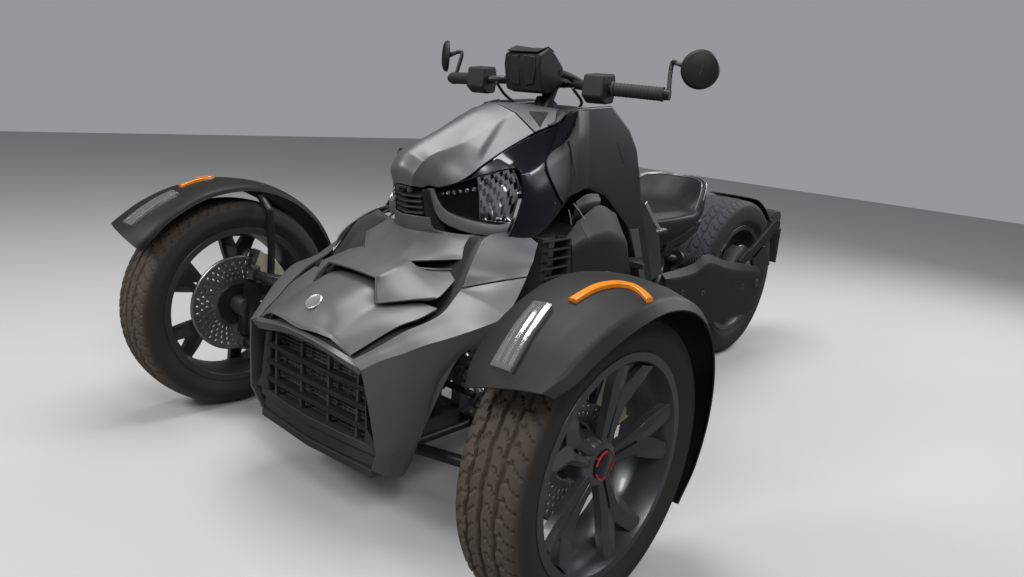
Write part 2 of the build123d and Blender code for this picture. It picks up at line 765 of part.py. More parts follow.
# Knuckles with brake callipers
def knuckle():
    low_gap = 20.0
    post = Plane(origin=king_point(low_gap), z_dir=(Vector(*KING_HIGH) - Vector(*KING_LOW)).normalized())
    body = extrude(post * Rectangle(38, 34), KING_LENGTH - 2 * low_gap)
    pin = rod(king_point(-20), king_point(KING_LENGTH + 19), JOINT_PIN_R)
    caps = rod(king_point(-24), king_point(-15), 14) + rod(king_point(KING_LENGTH + 14), king_point(KING_LENGTH + 23), 13)
    boss = rod((0, out(-96), up(0)), (0, out(-46), up(0)), 28)
    spindle = rod((0, out(-58), up(0)), (0, out(24), up(0)), SPINDLE_R)
    eye = rod((RACK_X, out(-116), RACK_Z - 32), (RACK_X, out(-116), RACK_Z - 16), 14)
    arm = block(RACK_X - 14, -8, out(-114), out(-96), RACK_Z - 30, RACK_Z - 16) + eye
    neck = block(-30, 4, out(-114), out(-94), RACK_Z - 30, up(-28))
    path = [(-64, out(-101), up(51)), (-66, out(-101), up(160)), (-58, out(-102), up(270)), (-52, out(-53), up(312))]
    mast = tube_path(path, 10)
    root = block(-74, -20, out(-110), out(-94), up(36), up(62))
    saddle = block(-76, -28, out(-56), out(-6), up(312), up(322))
    return body + pin + caps + boss + spindle + arm + neck + mast + root + saddle


def caliper():
    hub = (0, FRONT_DISC_Y, up(0))
    body = turned([(96, -17.5), (158, -17.5), (158, 17.5), (96, 17.5)], hub)
    window = side_prism([(0, up(0)), (-170, up(28)), (-170, up(150)), (-60, up(180))], out(-68), out(-8))
    body = body & window
    slot = turned([(90, -7.5), (142, -7.5), (142, 7.5), (90, 7.5)], hub)
    body = body - slot
    lug = block(-90, -22, out(-82), out(-56), up(28), up(72))
    return body + lug


def knuckles():
    side = knuckle() + caliper()
    return side


# Fenders: angles from straight ahead over the top, then width and radius scale
FENDER_RINGS = [
    # angle, inner and outer edge from the wheel's middle, radius shift, turn and lift of the outer edge
    (33, -62, 106, 4, 6, 30),
    (40, -76, 118, 5, 5, 16),
    (52, -82, 123, 5, 3, 6),
    (70, -83, FENDER_OVER, 2, 0, 0),
    (88, -83, FENDER_OVER, 0, 0, 0),
    (106, -82, 122, -1, 0, 0),
    (124, -78, 113, -2, 0, 0),
    (142, -72, 102, -3, 0, 0),
    (160, -64, 92, -4, 0, 0),
    (178, -54, 84, -6, 0, 0),
    (196, -38, 78, -10, 0, 0),
    (212, -18, 72, -16, 0, 0),
]
FENDER_SECTION = [
    # share of the width, height over the tyre
    (0.0, 32), (0.06, 46), (0.35, 55), (0.68, 51), (0.92, 38), (1.0, 20),
]


def fender_radius(share):
    """Fender's height over the tyre at a share of its width."""
    for k in range(len(FENDER_SECTION) - 1):
        s0, r0 = FENDER_SECTION[k]
        s1, r1 = FENDER_SECTION[k + 1]
        if s0 <= share <= s1:
            return r0 + (r1 - r0) * (share - s0) / (s1 - s0)
    return FENDER_SECTION[-1][1]


def ring_point(ring, share, drop):
    """Point on one ring of the fender, a share of the way across and a drop under its outside."""
    angle, y_in, y_out, shift, turn, lift = ring
    a = math.radians(angle + turn * share)
    r = FRONT_TYRE_R + fender_radius(share) + shift + lift * share
    if math.cos(a) > 0.5:
        r = min(r, FRONT_REACH / math.cos(a))
    r = r - drop
    return (r * math.cos(a), out(y_in + (y_out - y_in) * share), up(r * math.sin(a)))


def fender():
    top = []
    low = []
    for ring in FENDER_RINGS:
        row = []
        inner = []
        for share, over in FENDER_SECTION:
            row.append(ring_point(ring, share, 0.0))
            x, y, z = ring_point(ring, share, SKIN)
            inner.append((x, y + (3.0 if share < 0.05 else (-3.0 if share > 0.95 else 0.0)), z))
        top.append(row)
        low.append(inner)
    return skin(top, low) + block(-76, -28, out(-56), out(-6), up(322), up(336))


LAMP_CORNERS = [
    # angle, inner and outer edge from the wheel's middle, on the fender's front slope
    (40.5, -14, 28), (46, -18, 24), (52, -23, 18), (57, -27, 13), (63, -32, 6),
]
LAMP_SEAT = -1.5
AMBER_EDGES = [
    # angle and place from the wheel's middle on the strip's rear edge, then on its front edge
    (68.0, 15, 68.0, 29), (73.6, 17, 73.4, 31), (79.8, 21, 78.2, 35), (85.6, 36, 82.6, 45),
    (87.2, 57, 84.8, 59), (87.7, 74, 85.3, 74), (86.7, 93, 84.3, 91), (85.2, 107, 82.8, 105),
]


def fender_point(angle, y, lift):
    """Point on the fender's outside, lifted off it."""
    rings = FENDER_RINGS
    for k in range(len(rings) - 1):
        if rings[k][0] <= angle <= rings[k + 1][0]:
            t = (angle - rings[k][0]) / (rings[k + 1][0] - rings[k][0])
            y_in = rings[k][1] + (rings[k + 1][1] - rings[k][1]) * t
            y_out = rings[k][2] + (rings[k + 1][2] - rings[k][2]) * t
            share = (y - y_in) / (y_out - y_in)
            p = between(ring_point(rings[k], share, 0.0), ring_point(rings[k + 1], share, 0.0), t)
    a = math.radians(angle)
    return (p[0] + lift * math.cos(a), p[1], p[2] + lift * math.sin(a))


def fender_lamps():
    top = []
    low = []
    for a, y0, y1 in LAMP_CORNERS:
        middle = (y0 + y1) / 2
        top.append([fender_point(a, y0, 9), fender_point(a, middle, 11), fender_point(a, y1, 9)])
        low.append([fender_point(a, y0, LAMP_SEAT), fender_point(a, middle, LAMP_SEAT), fender_point(a, y1, LAMP_SEAT)])
    strip_top = [[fender_point(a, y, 7), fender_point(b, w, 7)] for a, y, b, w in AMBER_EDGES]
    strip_low = [[fender_point(a, y, LAMP_SEAT), fender_point(b, w, LAMP_SEAT)] for a, y, b, w in AMBER_EDGES]
    return [skin(top, low) - fender(), skin(strip_top, strip_low) - fender()]


# Wheels
WHEELS = [
    # name, x, y, tyre_r, tyre_w, rim_r, bead half width
    ("front_left", 0.0, HALF_TRACK, FRONT_TYRE_R, FRONT_TYRE_W, FRONT_RIM_R, 62.0),
    ("front_right", 0.0, -HALF_TRACK, FRONT_TYRE_R, FRONT_TYRE_W, FRONT_RIM_R, 62.0),
    ("rear", -WHEELBASE, 0.0, REAR_TYRE_R, REAR_TYRE_W, REAR_RIM_R, 92.0),
]


def tyre(centre, r, w, rim_r, bead):
    half = w / 2
    seat = bead - 4.8
    profile = [
        (rim_r - 12.7, -seat + 14), (rim_r - 12.7, -seat), (rim_r + 0.3, -seat), (rim_r + 0.3, -bead),
        (rim_r + 14, -half + 2), (rim_r + 32, -half), (r - 24, -half + 4), (r - 9, -half + 14),
        (r - 3, -half + 30), (r, -half + 52),
    ]
    mirror_side = [(a, -b) for a, b in reversed(profile)]
    inside = [(rim_r + 4, seat - 14), (r - 14, half - 30), (r - 14, -half + 30), (rim_r + 4, -seat + 14)]
    return turned(profile + mirror_side + inside, centre)


SPOKE_ANGLES = [31, 103, 175, 247, 319]
SPOKE_REACH = 202.0
SPOKE_DEPTH = 24.0
SPOKE_HALF = [
    # place along the spoke, then (place across, share of the depth) at inner edge, ridge and outer edge
    (30, (3, 0.0), (10, 0.12), (18, 0.0)),
    (46, (3, 0.0), (11, 0.15), (19, 0.0)),
    (108, (3, 0.08), (15, 0.42), (27, 0.1)),
    (119, (-1, 0.2), (18, 0.5), (33, 0.25)),
    (148, (-1, 0.35), (32, 0.75), (46, 0.5)),
    (192, (25, 0.95), (46, 1.1), (62, 1.0)),
]


def rim(centre, bead, rim_r, face, tip, hub_in, hub_out):
    """Rim with five split spokes, its face towards +Y of the centre and its spokes dished outwards."""
    seat = bead - 4.5
    barrel = turned([
        (rim_r, -seat), (rim_r, -bead), (rim_r - 17, -bead), (rim_r - 29, -bead + 30),
        (rim_r - 29, bead - 30), (rim_r - 17, bead), (rim_r, bead), (rim_r, seat),
        (rim_r - 13, seat), (rim_r - 13, -seat),
    ], centre)
    x, y, z = centre
    hub = turned([
        (SPINDLE_R + RUN_GAP, hub_in), (44, hub_in), (50, hub_out - 18), (38, hub_out),
        (SPINDLE_R + RUN_GAP, hub_out),
    ], centre)
    cap = turned([(0.0, hub_out), (30, hub_out), (26, hub_out + 7), (0.0, hub_out + 7)], centre)
    shape = barrel + hub + cap
    scale = (rim_r - 17) / SPOKE_REACH
    for angle in SPOKE_ANGLES:
        a = math.radians(angle)
        for side in (-1, 1):
            top = []
            low = []
            for along, *edges in SPOKE_HALF:
                row = []
                for across, depth in edges:
                    u = along * (scale if along > 60 else 1.0)
                    v = side * across * (scale if across > 20 else 1.0)
                    px = x + u * math.cos(a) - v * math.sin(a)
                    pz = z + u * math.sin(a) + v * math.cos(a)
                    row.append((px, y + face + (tip - face) * depth, pz))
                top.append(row)
                low.append([(px, py - SPOKE_DEPTH + 6, pz) for px, py, pz in row])
            shape = shape + skin(top, low)
    return shape


def carrier(centre, low, high, radius):
    """Ring that carries a brake disc on the hub."""
    return turned([(SPINDLE_R + 8, low), (radius, low), (radius, high), (SPINDLE_R + 8, high)], centre)


def disc(centre, y_mid, radius, bore):
    """Brake disc across its own middle plane."""
    x, y, z = centre
    half = 2.5
    return turned([
        (bore, y_mid - half), (radius, y_mid - half), (radius, y_mid + half), (bore, y_mid + half),
    ], (x, 0, z))


# Rear end
ARM_IN = 129.0
ARM_OUT = 158.0
COVER_BOSSES = [
    # x, outer end, z of the studs that carry the cover
    (at(-1250), 177.0, 330.0),
    (back(129), 166.5, high(5)),
]


def swing_arm():
    front = [(-1150, 270), (-1060, 292), (-1060, 372), (-1180, 388), (-1340, 380), (-1404, 380), (-1440, 370)]
    rear = [(59, 47), (-51, 37), (-66, -3), (-31, -41), (59, -53)]
    outline = [(at(x), z) for x, z in front] + [(back(x), high(z)) for x, z in rear] + [(at(-1300), 262)]
    arm = side_prism(outline, ARM_IN, ARM_OUT)
    cross = block(at(-1180), at(-1136), -90, ARM_OUT, 300, 370)
    hub = rod((REAR_X, 118, high(0)), (REAR_X, ARM_OUT + 2, high(0)), 58)
    axle = rod((REAR_X, -43, high(0)), (REAR_X, ARM_OUT + 2, high(0)), SPINDLE_R)
    claw = [(119, 27), (69, 49), (59, 137), (109, 117), (143, 77)]
    caliper_body = side_prism([(back(x), high(z)) for x, z in claw], 84, 134)
    slot = [(20, REAR_DISC_Y - 7), (138, REAR_DISC_Y - 7), (138, REAR_DISC_Y + 7), (20, REAR_DISC_Y + 7)]
    caliper_body = caliper_body - turned(slot, (REAR_X, 0, high(0)))
    pad = block(back(69), back(103), 136, 156, high(37), high(63))
    bosses = []
    for x, y, z in COVER_BOSSES:
        bosses.append(rod((x, ARM_OUT - 4, z), (x, y, z), 9))
    whole = arm + cross + hub + axle + caliper_body + pad
    for boss in bosses:
        whole = whole + boss
    return whole


SWING_COVER_ROWS = [
    # top edge, shoulder, lower, bottom edge
    [(-1000, 167, 422), (-1004, 183, 406), (-1012, 185, 350), (-1017, 176, 319)],
    [(-1092, 170, 425), (-1096, 188, 402), (-1110, 190, 330), (-1120, 182, 276)],
    [(-1190, 172, 434), (-1190, 190, 406), (-1195, 192, 320), (-1200, 182, 238)],
    [(-1276, 172, 457), (-1276, 190, 428), (-1288, 191, 312), (-1290, 182, 208)],
    [(-1430, 170, 418), (-1430, 186, 390), (-1436, 188, 300), (-1440, 178, 196)],
    [(-1580, 167, 392), (-1582, 180, 364), (-1590, 181, 285), (-1600, 174, 190)],
    [(-1713, 165, 365), (-1716, 173, 343), (-1724, 174, 262), (-1728, 170, 191)],
    [(-1758, 164, 349), (-1762, 169, 330), (-1768, 170, 272), (-1766, 167, 240)],
]


def swing_cover():
    cover = sheet(carried(SWING_COVER_ROWS), (0, -SKIN, 0))
    for x, y, z in COVER_BOSSES:
        cover = cover + rod((x, y, z), (x, y + 13, z), 12)
    return cover


TAIL_ARCH = [
    # angle from straight ahead over the top, half width, height over the tyre at edge and middle
    (96, 84, 10, 12), (106, 92, 12, 15), (117, 92, 13, 17), (128, 92, 15, 20), (139, 92, 19, 24),
]
TAIL_PLATES = [
    # corner places in front of the rear axle and above it, upper arm then lower blade
    [(103, 66), (103, 92), (68, 115), (-8, 143), (-168, 229), (-213, 217), (-209, 175), (-184, 181),
     (-91, 129), (-20, 92), (62, 76), (72, 66)],
    [(7, 95), (-60, 128), (-100, 129), (-176, 48), (-141, 35), (-66, 34), (-21, 57)],
]


def tail_arm():
    top = []
    low = []
    for angle, half, edge, middle in TAIL_ARCH:
        a = math.radians(angle)
        row = []
        under = []
        for y, over in ((-half, edge), (-half * 0.7, middle - 1), (0, middle), (half * 0.7, middle - 1), (half, edge)):
            r = REAR_TYRE_R + over
            row.append((back(r * math.cos(a)), y, high(r * math.sin(a))))
            under.append((back((r - SKIN) * math.cos(a)), y, high((r - SKIN) * math.sin(a))))
        top.append(row)
        low.append(under)
    guard = skin(top, low)
    elbow = (back(-206), 141, high(196))
    bar = tube_path([elbow, (TAIL_X + 8, 92, high(160))], 11)
    for corners in TAIL_PLATES:
        bar = bar + side_prism([(back(x), high(z)) for x, z in corners], 135, 147)
    a = math.radians(138.8)
    reach = REAR_TYRE_R + 20
    stay = rod(elbow, (back(reach * math.cos(a)), 88, high(reach * math.sin(a))), 8)
    bar = bar + block(back(69), back(103), 136, 156, high(63), high(75)) + stay
    plate = block(TAIL_X - TAIL_GAP, TAIL_X - TAIL_GAP + 6.3, -100, 100, high(27), high(171))
    for y in (-73.025, 73.025):
        for z in (high(102) - 34.925, high(102) + 34.925):
            plate = plate - rod((TAIL_X - 60, y, z), (TAIL_X - 30, y, z), 3.5)
    shelf = block(TAIL_X - 44, TAIL_X + 27, -92, 92, high(159), high(171))
    return guard + bar + plate + shelf


def tail_lamp():
    outline = [(-47.3, 171), (22, 171), (34, 217), (26, 245), (-28, 245), (-47.3, 227)]
    return side_prism([(TAIL_X + x, high(z)) for x, z in outline], -90, 90)


def handle_bar():
    bends = [(-575, 0, 960), (-572, 70, 962), (-520, 140, 958), (-512, 200, 956), (-526, 255, 955), (-561, 359, 953)]
    left = tube_path(path(bends), 10.5)
    column = rod(column_point(-94), column_point(22), COLUMN_R)
    clamp = block(at(-604), at(-548), -26, 26, 950, 976)
    return left + mirrored(left) + column + clamp


def grips():
    sleeve = rod((at(-521), 243, 955.3), (at(-559), 353, 953.2), 17)
    bar = tube_path(path([(-512, 200, 956), (-526, 255, 955), (-561, 359, 953)]), 10.8)
    return pair(sleeve - bar)


def switch_housings():
    body = block(at(-545), at(-490), 166, 232, 918, 992)
    bar = tube_path(path([(-520, 140, 958), (-512, 200, 956), (-526, 255, 955)]), 10.8)
    return pair(body - bar)


def gauge_pod():
    outline = [(-461, 936), (-445, 998), (-447, 1024), (-482, 1043), (-505, 1034), (-546, 1000)]
    outline += [(-548, 976), (-548, 950), (-491, 930)]
    return side_prism([(at(x), z) for x, z in outline], -60, 60)


MIRROR_TURN = 38.0


def mirrors():
    turn = math.radians(MIRROR_TURN)
    x, y, z = at(-592), 427, 1016
    reach = (11 * math.cos(turn), 11 * math.sin(turn))
    disc_body = rod((x - reach[0], y - reach[1], z), (x + reach[0], y + reach[1], z), 46)
    stalk = tube_path(path([(-563.4, 366, 953), (-572, 362, 962), (-586, 352, 1029), (-579, 408, 1017)]), 5.5)
    tip = rod((at(-561.1), 359.3, 953), (at(-564.5), 369.4, 952.8), 11)
    return pair(disc_body + stalk + tip)


def tie_rods():
    bar = rod((RACK_X, -out(-128), RACK_Z), (RACK_X, out(-128), RACK_Z), RACK_R)
    eye = rod((RACK_X, out(-116), RACK_Z - 9), (RACK_X, out(-116), RACK_Z + 9), 15)
    return bar + eye + mirrored(eye)


# Spoke face at the hub and at the tips, from the wheel's middle
FRONT_FACE = 31.0
FRONT_TIP = 54.0
REAR_FACE = 34.0
REAR_TIP = 82.0

export(frame(), "frame")
export([spine_cover() + deck()], "spine_cover")
export([hood()], "hood")
export([fascia()], "fascia")
export([grille()], "grille")
export([radiator()], "radiator")
export([chin()], "chin_grille")
export(headlight_housings(), "headlight_housings")
export(headlight_lenses(), "headlight_lenses")
export(gloss_panels(), "gloss_panels")
export([top_cover()], "top_cover")
export([glove_bin()], "glove_bin")
export(side_pods(), "side_pods")
export([engine()], "engine")
export([muffler()], "muffler")
export([seat_base()], "seat_base")
export([seat_cushion()], "seat_cushion")
export([foot_pegs()], "foot_pegs")
export(suspension_arms(), "suspension_arms")
export(shocks(), "shocks")
export([knuckles()], "knuckle_left")
export([mirrored(knuckles())], "knuckle_right")
export([fender()], "fender_left")
export([mirrored(fender())], "fender_right")
export(fender_lamps(), "fender_lamps_left")
export([mirrored(s) for s in fender_lamps()], "fender_lamps_right")
for name, x, y, tyre_r, tyre_w, rim_r, bead in WHEELS:
    centre = (x, abs(y), tyre_r)
    export([tyre((x, y, tyre_r), tyre_r, tyre_w, rim_r, bead)], "tyre_" + name)
    if name == "rear":
        wheel = mirrored(rim(centre, bead, rim_r, REAR_FACE, REAR_TIP, -60.0, 44.0))
        wheel = wheel + carrier(centre, 55.0, REAR_DISC_Y - 2.5, 66)
        export([wheel], "rim_" + name)
        export([disc(centre, REAR_DISC_Y, 130, 50)], "disc_" + name)
    else:
        wheel = rim(centre, bead, rim_r, FRONT_FACE, FRONT_TIP, -36.0, 32.0)
        brake = disc(centre, FRONT_DISC_Y, 135, 30)
        if name == "front_right":
            wheel = mirrored(wheel)
            brake = mirrored(brake)
        export([wheel], "rim_" + name)
        export([brake], "disc_" + name)
export([swing_arm()], "swing_arm")
export([swing_cover()], "swing_cover")
export([tail_arm()], "tail_arm")
export([tail_lamp()], "tail_lamp")
export([handle_bar()], "handlebar")
export(grips(), "grips")
export(switch_housings(), "switch_housings")
export([gauge_pod()], "gauge_pod")
export(mirrors(), "mirrors")
export([tie_rods()], "tie_rods")
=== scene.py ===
import logging
import math
from collections.abc import Sequence
from dataclasses import dataclass
from enum import Enum

import bmesh
import bpy
import numpy as np
from mathutils import Matrix, Vector


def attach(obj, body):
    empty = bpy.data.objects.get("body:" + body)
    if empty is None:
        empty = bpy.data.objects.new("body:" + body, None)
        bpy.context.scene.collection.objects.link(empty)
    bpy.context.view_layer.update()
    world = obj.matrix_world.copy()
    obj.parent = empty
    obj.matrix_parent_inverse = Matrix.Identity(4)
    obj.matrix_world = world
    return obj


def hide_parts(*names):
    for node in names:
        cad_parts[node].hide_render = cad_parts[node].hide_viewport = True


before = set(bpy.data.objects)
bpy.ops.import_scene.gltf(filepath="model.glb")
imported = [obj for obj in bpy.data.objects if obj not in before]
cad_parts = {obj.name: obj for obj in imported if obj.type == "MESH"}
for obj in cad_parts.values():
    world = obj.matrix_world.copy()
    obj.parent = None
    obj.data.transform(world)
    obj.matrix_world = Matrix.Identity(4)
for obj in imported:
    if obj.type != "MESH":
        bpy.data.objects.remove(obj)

log = logging.getLogger("trike")

# Points are written in millimetres from the front axle's middle on the floor, X forward and Y to
# the rider's left. The model's own frame has its origin at the middle of the box.
AXLE_AHEAD = 883.3
TRACK = 628.0
FRONT_R = 290.0
REAR_R = 303.0
BASE = -1709.0
# Wall of a moulded panel, a thinner wall, and the distance within which points of two grids meet.
WALL = 4.0
THIN = 3.0
WELD = 0.3
# Place across the vehicle of the left brake disc, radius and half width of the rims, the lid's hinge.
DISC_Y = TRACK - 38.5
FRONT_RIM, FRONT_BEAD = 219.0, 62.0
REAR_RIM, REAR_BEAD = 207.0, 92.0
HINGE = (-74.0, 0.0, 699.0)
# Turns a point to the other side.
FLIP = np.array([1.0, -1.0, 1.0])

Grid = np.ndarray
Point = tuple[float, float, float]


class Side(Enum):
    """Side of the vehicle that a piece sits on."""

    LEFT = 1.0
    RIGHT = -1.0


def metres(points: Sequence | np.ndarray) -> np.ndarray:
    """Millimetres from the front axle, carried to metres in the model's frame.

    Args:
        points: Any array of points with X, Y, Z last.

    Returns:
        The same points divided by 1000 after X grows by the axle's place.
    """
    array = np.asarray(points, dtype=float)
    return (array + np.array([AXLE_AHEAD, 0.0, 0.0])) / 1000.0


def span_weights(count: int, steps: int, breaks: Sequence[int] = ()) -> np.ndarray:
    """Weights that carry a few control rows onto a dense run of rows.

    In each span the point is the Catmull-Rom cubic of its four neighbours. At an end or a break,
    which is a crease, the missing neighbour is the near one mirrored through the span's end.

    Args:
        count: Number of control rows.
        steps: Dense rows in each span.
        breaks: Control rows where the run may bend sharply.

    Returns:
        Matrix with a row for each dense row and a column for each control row.
    """
    t = np.linspace(0.0, 1.0, steps, endpoint=False)
    before = -0.5 * t**3 + t**2 - 0.5 * t
    near = 1.5 * t**3 - 2.5 * t**2 + 1.0
    far = -1.5 * t**3 + 2.0 * t**2 + 0.5 * t
    after = 0.5 * t**3 - 0.5 * t**2
    out = np.zeros(((count - 1) * steps + 1, count))
    for i in range(count - 1):
        rows = slice(i * steps, (i + 1) * steps)
        out[rows, i] += near
        out[rows, i + 1] += far
        if i > 0 and i not in breaks:
            out[rows, i - 1] += before
        else:
            out[rows, i] += 2.0 * before
            out[rows, i + 1] -= before
        if i + 2 < count and i + 1 not in breaks:
            out[rows, i + 2] += after
        else:
            out[rows, i + 1] += 2.0 * after
            out[rows, i] -= after
    out[-1, -1] = 1.0
    return out


@dataclass
class Net:
    """Coarse grid of control points with smooth spans and chosen creases."""

    rows: Sequence[Sequence[Point]]
    row_breaks: Sequence[int] = ()
    column_breaks: Sequence[int] = ()

    def surface(self, steps_u: int = 6, steps_v: int = 6) -> Grid:
        """Dense grid: row weights times control points times column weights.

        Args:
            steps_u: Dense rows in each span between control rows.
            steps_v: Dense columns in each span between control columns.

        Returns:
            Grid of points in millimetres.
        """
        net = np.asarray(self.rows, dtype=float)
        across = span_weights(net.shape[0], steps_u, self.row_breaks)
        along = span_weights(net.shape[1], steps_v, self.column_breaks)
        return np.einsum("ai,ijk,bj->abk", across, net, along)


def smooth_path(points: Sequence[Point], steps: int = 8, breaks: Sequence[int] = ()) -> np.ndarray:
    """Dense smooth run through a few points, by the same cubic weights."""
    return span_weights(len(points), steps, breaks) @ np.asarray(points, dtype=float)


def border(grid: Grid) -> np.ndarray:
    """Points round the edge of a grid, in order."""
    return np.concatenate([grid[0], grid[1:, -1], grid[-1, -2::-1], grid[-2:0:-1, 0]])


def unit(vectors: np.ndarray) -> np.ndarray:
    """Vectors divided by their own length."""
    return vectors / np.maximum(np.linalg.norm(vectors, axis=-1, keepdims=True), 1e-9)


def swept(path: np.ndarray, section: np.ndarray, scale: np.ndarray | float = 1.0,
          lean: Point = (0.0, 0.0, 1.0)) -> Grid:
    """Closed section carried along a path.

    Each ring is the path's point plus the section's first number along the side direction and its
    second along the normal, where side is the tangent crossed with a fixed leaning vector.

    Args:
        path: Path's points.
        section: Section's points as pairs.
        scale: Size of each ring, or one size for all.
        lean: Vector that keeps the section from turning.

    Returns:
        Grid with a row for each path point and a column for each section point.
    """
    tangent = unit(np.gradient(path, axis=0))
    side = unit(np.cross(tangent, np.asarray(lean, dtype=float)))
    normal = np.cross(side, tangent)
    size = np.broadcast_to(np.asarray(scale, dtype=float), (len(path),))[:, None, None]
    flat = section[None, :, 0, None] * side[:, None, :] + section[None, :, 1, None] * normal[:, None, :]
    return path[:, None, :] + flat * size


def ring(radius: float, count: int = 16) -> np.ndarray:
    """Circle as pairs, run so that swept faces point out."""
    angle = np.linspace(0.0, 2.0 * math.pi, count, endpoint=False)
    return radius * np.stack([np.cos(angle), -np.sin(angle)], axis=1)


def lathe(profile: Sequence[tuple[float, float]], centre: Point, steps: int = 64, axis: int = 1,
          start: float = 0.0, turn: float = 360.0) -> Grid:
    """Profile turned about an axis line through a centre.

    A point at radius r and place w along the axis goes to centre plus r times the cosine and sine
    of the turning angle on the two other axes.

    Args:
        profile: Pairs of radius and place along the axis.
        centre: Point on the axis.
        steps: Places round the turn.
        axis: Which of X, Y and Z is the axis.
        start: First angle in degrees.
        turn: Whole turn in degrees.

    Returns:
        Grid with a row for each angle and a column for each profile point.
    """
    shape = np.asarray(profile, dtype=float)
    angle = np.radians(start + np.linspace(0.0, turn, steps, endpoint=turn < 360.0))
    grid = np.zeros((steps, len(shape), 3))
    first, second = [k for k in range(3) if k != axis]
    grid[:, :, first] = np.cos(angle)[:, None] * shape[None, :, 0]
    grid[:, :, second] = np.sin(angle)[:, None] * shape[None, :, 0]
    grid[:, :, axis] = shape[None, :, 1]
    return grid + np.asarray(centre, dtype=float)


class Form:
    """Mesh of one piece, gathered from grids, prisms, tubes and blocks in millimetres."""

    def __init__(self) -> None:
        """Start with no points."""
        self.points: list[np.ndarray] = []
        self.faces: list[list[int]] = []
        self.count = 0

    def add(self, points: np.ndarray, faces: np.ndarray | list) -> "Form":
        """Add points and the faces that index them.

        Args:
            points: Array of points.
            faces: Rows of point numbers.

        Returns:
            This form, so that calls chain.
        """
        self.points.append(points.reshape(-1, 3))
        self.faces.extend((np.asarray(face) + self.count).tolist() for face in faces)
        self.count += points.reshape(-1, 3).shape[0]
        return self

    def grid(self, grid: Grid, wrap_rows: bool = False, wrap_columns: bool = False, flip: bool = False,
             caps: bool = False) -> "Form":
        """Add a grid's quads, number (i, j) to (i + 1, j + 1).

        Args:
            grid: Points by row and column.
            wrap_rows: Whether the last row joins the first.
            wrap_columns: Whether the last column joins the first.
            flip: Whether faces turn round.
            caps: Whether the first and last rows are closed with one face each.

        Returns:
            This form.
        """
        rows, columns = grid.shape[:2]
        i = np.arange(rows if wrap_rows else rows - 1)[:, None]
        j = np.arange(columns if wrap_columns else columns - 1)[None, :]
        down, right = (i + 1) % rows, (j + 1) % columns
        corners = (i * columns + j, down * columns + j, down * columns + right, i * columns + right)
        quads = np.stack(corners, axis=-1).reshape(-1, 4)
        faces = (quads[:, ::-1] if flip else quads).tolist()
        if caps:
            first = list(range(columns))
            last = [(rows - 1) * columns + k for k in range(columns)]
            faces += [first, last[::-1]] if flip else [first[::-1], last]
        return self.add(grid, faces)

    def net(self, rows: Sequence[Sequence[Point]], row_breaks: Sequence[int] = (),
            column_breaks: Sequence[int] = (), steps: tuple[int, int] = (6, 6),
            flip: bool = False) -> "Form":
        """Add the smooth surface of a coarse grid of control points."""
        return self.grid(Net(rows, row_breaks, column_breaks).surface(*steps), flip=flip)

    def tube(self, points: Sequence[Point], radius: float, count: int = 14, steps: int = 8,
             breaks: Sequence[int] = ()) -> "Form":
        """Add a round bar along a smooth path, closed at both ends."""
        path = smooth_path(points, steps, breaks)
        return self.grid(swept(path, ring(radius, count)), wrap_columns=True, caps=True)

    def rod(self, start: Point, end: Point, radius: float, tip: float | None = None, count: int = 20) -> "Form":
        """Add a straight round bar, or a cone when the tip's radius differs."""
        path = np.linspace(np.asarray(start, dtype=float), np.asarray(end, dtype=float), 2)
        run = unit(path[1] - path[0])
        lean = (0.0, 0.0, 1.0) if abs(run[2]) < 0.9 else (1.0, 0.0, 0.0)
        scale = np.array([1.0, (radius if tip is None else tip) / radius])
        return self.grid(swept(path, ring(radius, count), scale, lean), wrap_columns=True, caps=True)

    def spin(self, profile: Sequence[tuple[float, float]], centre: Point, steps: int = 64, axis: int = 1,
             flip: bool = False) -> "Form":
        """Add a closed profile turned all the way about an axis line."""
        return self.grid(lathe(profile, centre, steps, axis), wrap_rows=True, wrap_columns=True, flip=flip)

    def prism(self, outline: Sequence[Point], offset: Point) -> "Form":
        """Add a flat outline given depth along an offset."""
        base = np.asarray(outline, dtype=float)
        top = base + np.asarray(offset, dtype=float)
        n = len(base)
        area = np.cross(base - base.mean(0), np.roll(base, -1, 0) - base.mean(0)).sum(0)
        out = float(area @ np.asarray(offset, dtype=float)) > 0.0
        low, high = list(range(n)), list(range(n, 2 * n))
        sides = [[k, (k + 1) % n, n + (k + 1) % n, n + k] for k in range(n)]
        faces = [low[::-1], high] + sides if out else [low, high[::-1]] + [side[::-1] for side in sides]
        return self.add(np.concatenate([base, top]), faces)

    def block(self, low: Point, high: Point) -> "Form":
        """Add a box between two corners."""
        (x0, y0, z0), (x1, y1, z1) = low, high
        return self.prism([(x0, y0, z0), (x1, y0, z0), (x1, y1, z0), (x0, y1, z0)], (0.0, 0.0, z1 - z0))

    def ball(self, centre: Point, radius: float, count: int = 16) -> "Form":
        """Add a sphere as a turned half circle with closed poles."""
        angle = np.linspace(-88.0, 88.0, count // 2 + 1)
        profile = [(radius * math.cos(math.radians(a)), radius * math.sin(math.radians(a))) for a in angle]
        grid = lathe(profile, centre, count, 2)
        return self.grid(np.swapaxes(grid, 0, 1), wrap_columns=True, caps=True)

    def turn(self, angle: float, axis: str, place: Point) -> "Form":
        """Turn everything added so far about an axis through the origin, then move it to a place."""
        matrix = np.array(Matrix.Rotation(math.radians(angle), 3, axis))
        self.points = [points @ matrix.T + np.asarray(place) for points in self.points]
        return self

    def twin(self) -> "Form":
        """Add the mirror image of everything added so far."""
        points = np.concatenate(self.points) * FLIP
        faces = [face[::-1] for face in self.faces]
        self.points.append(points)
        self.faces = self.faces + [[k + self.count for k in face] for face in faces]
        self.count += len(points)
        return self

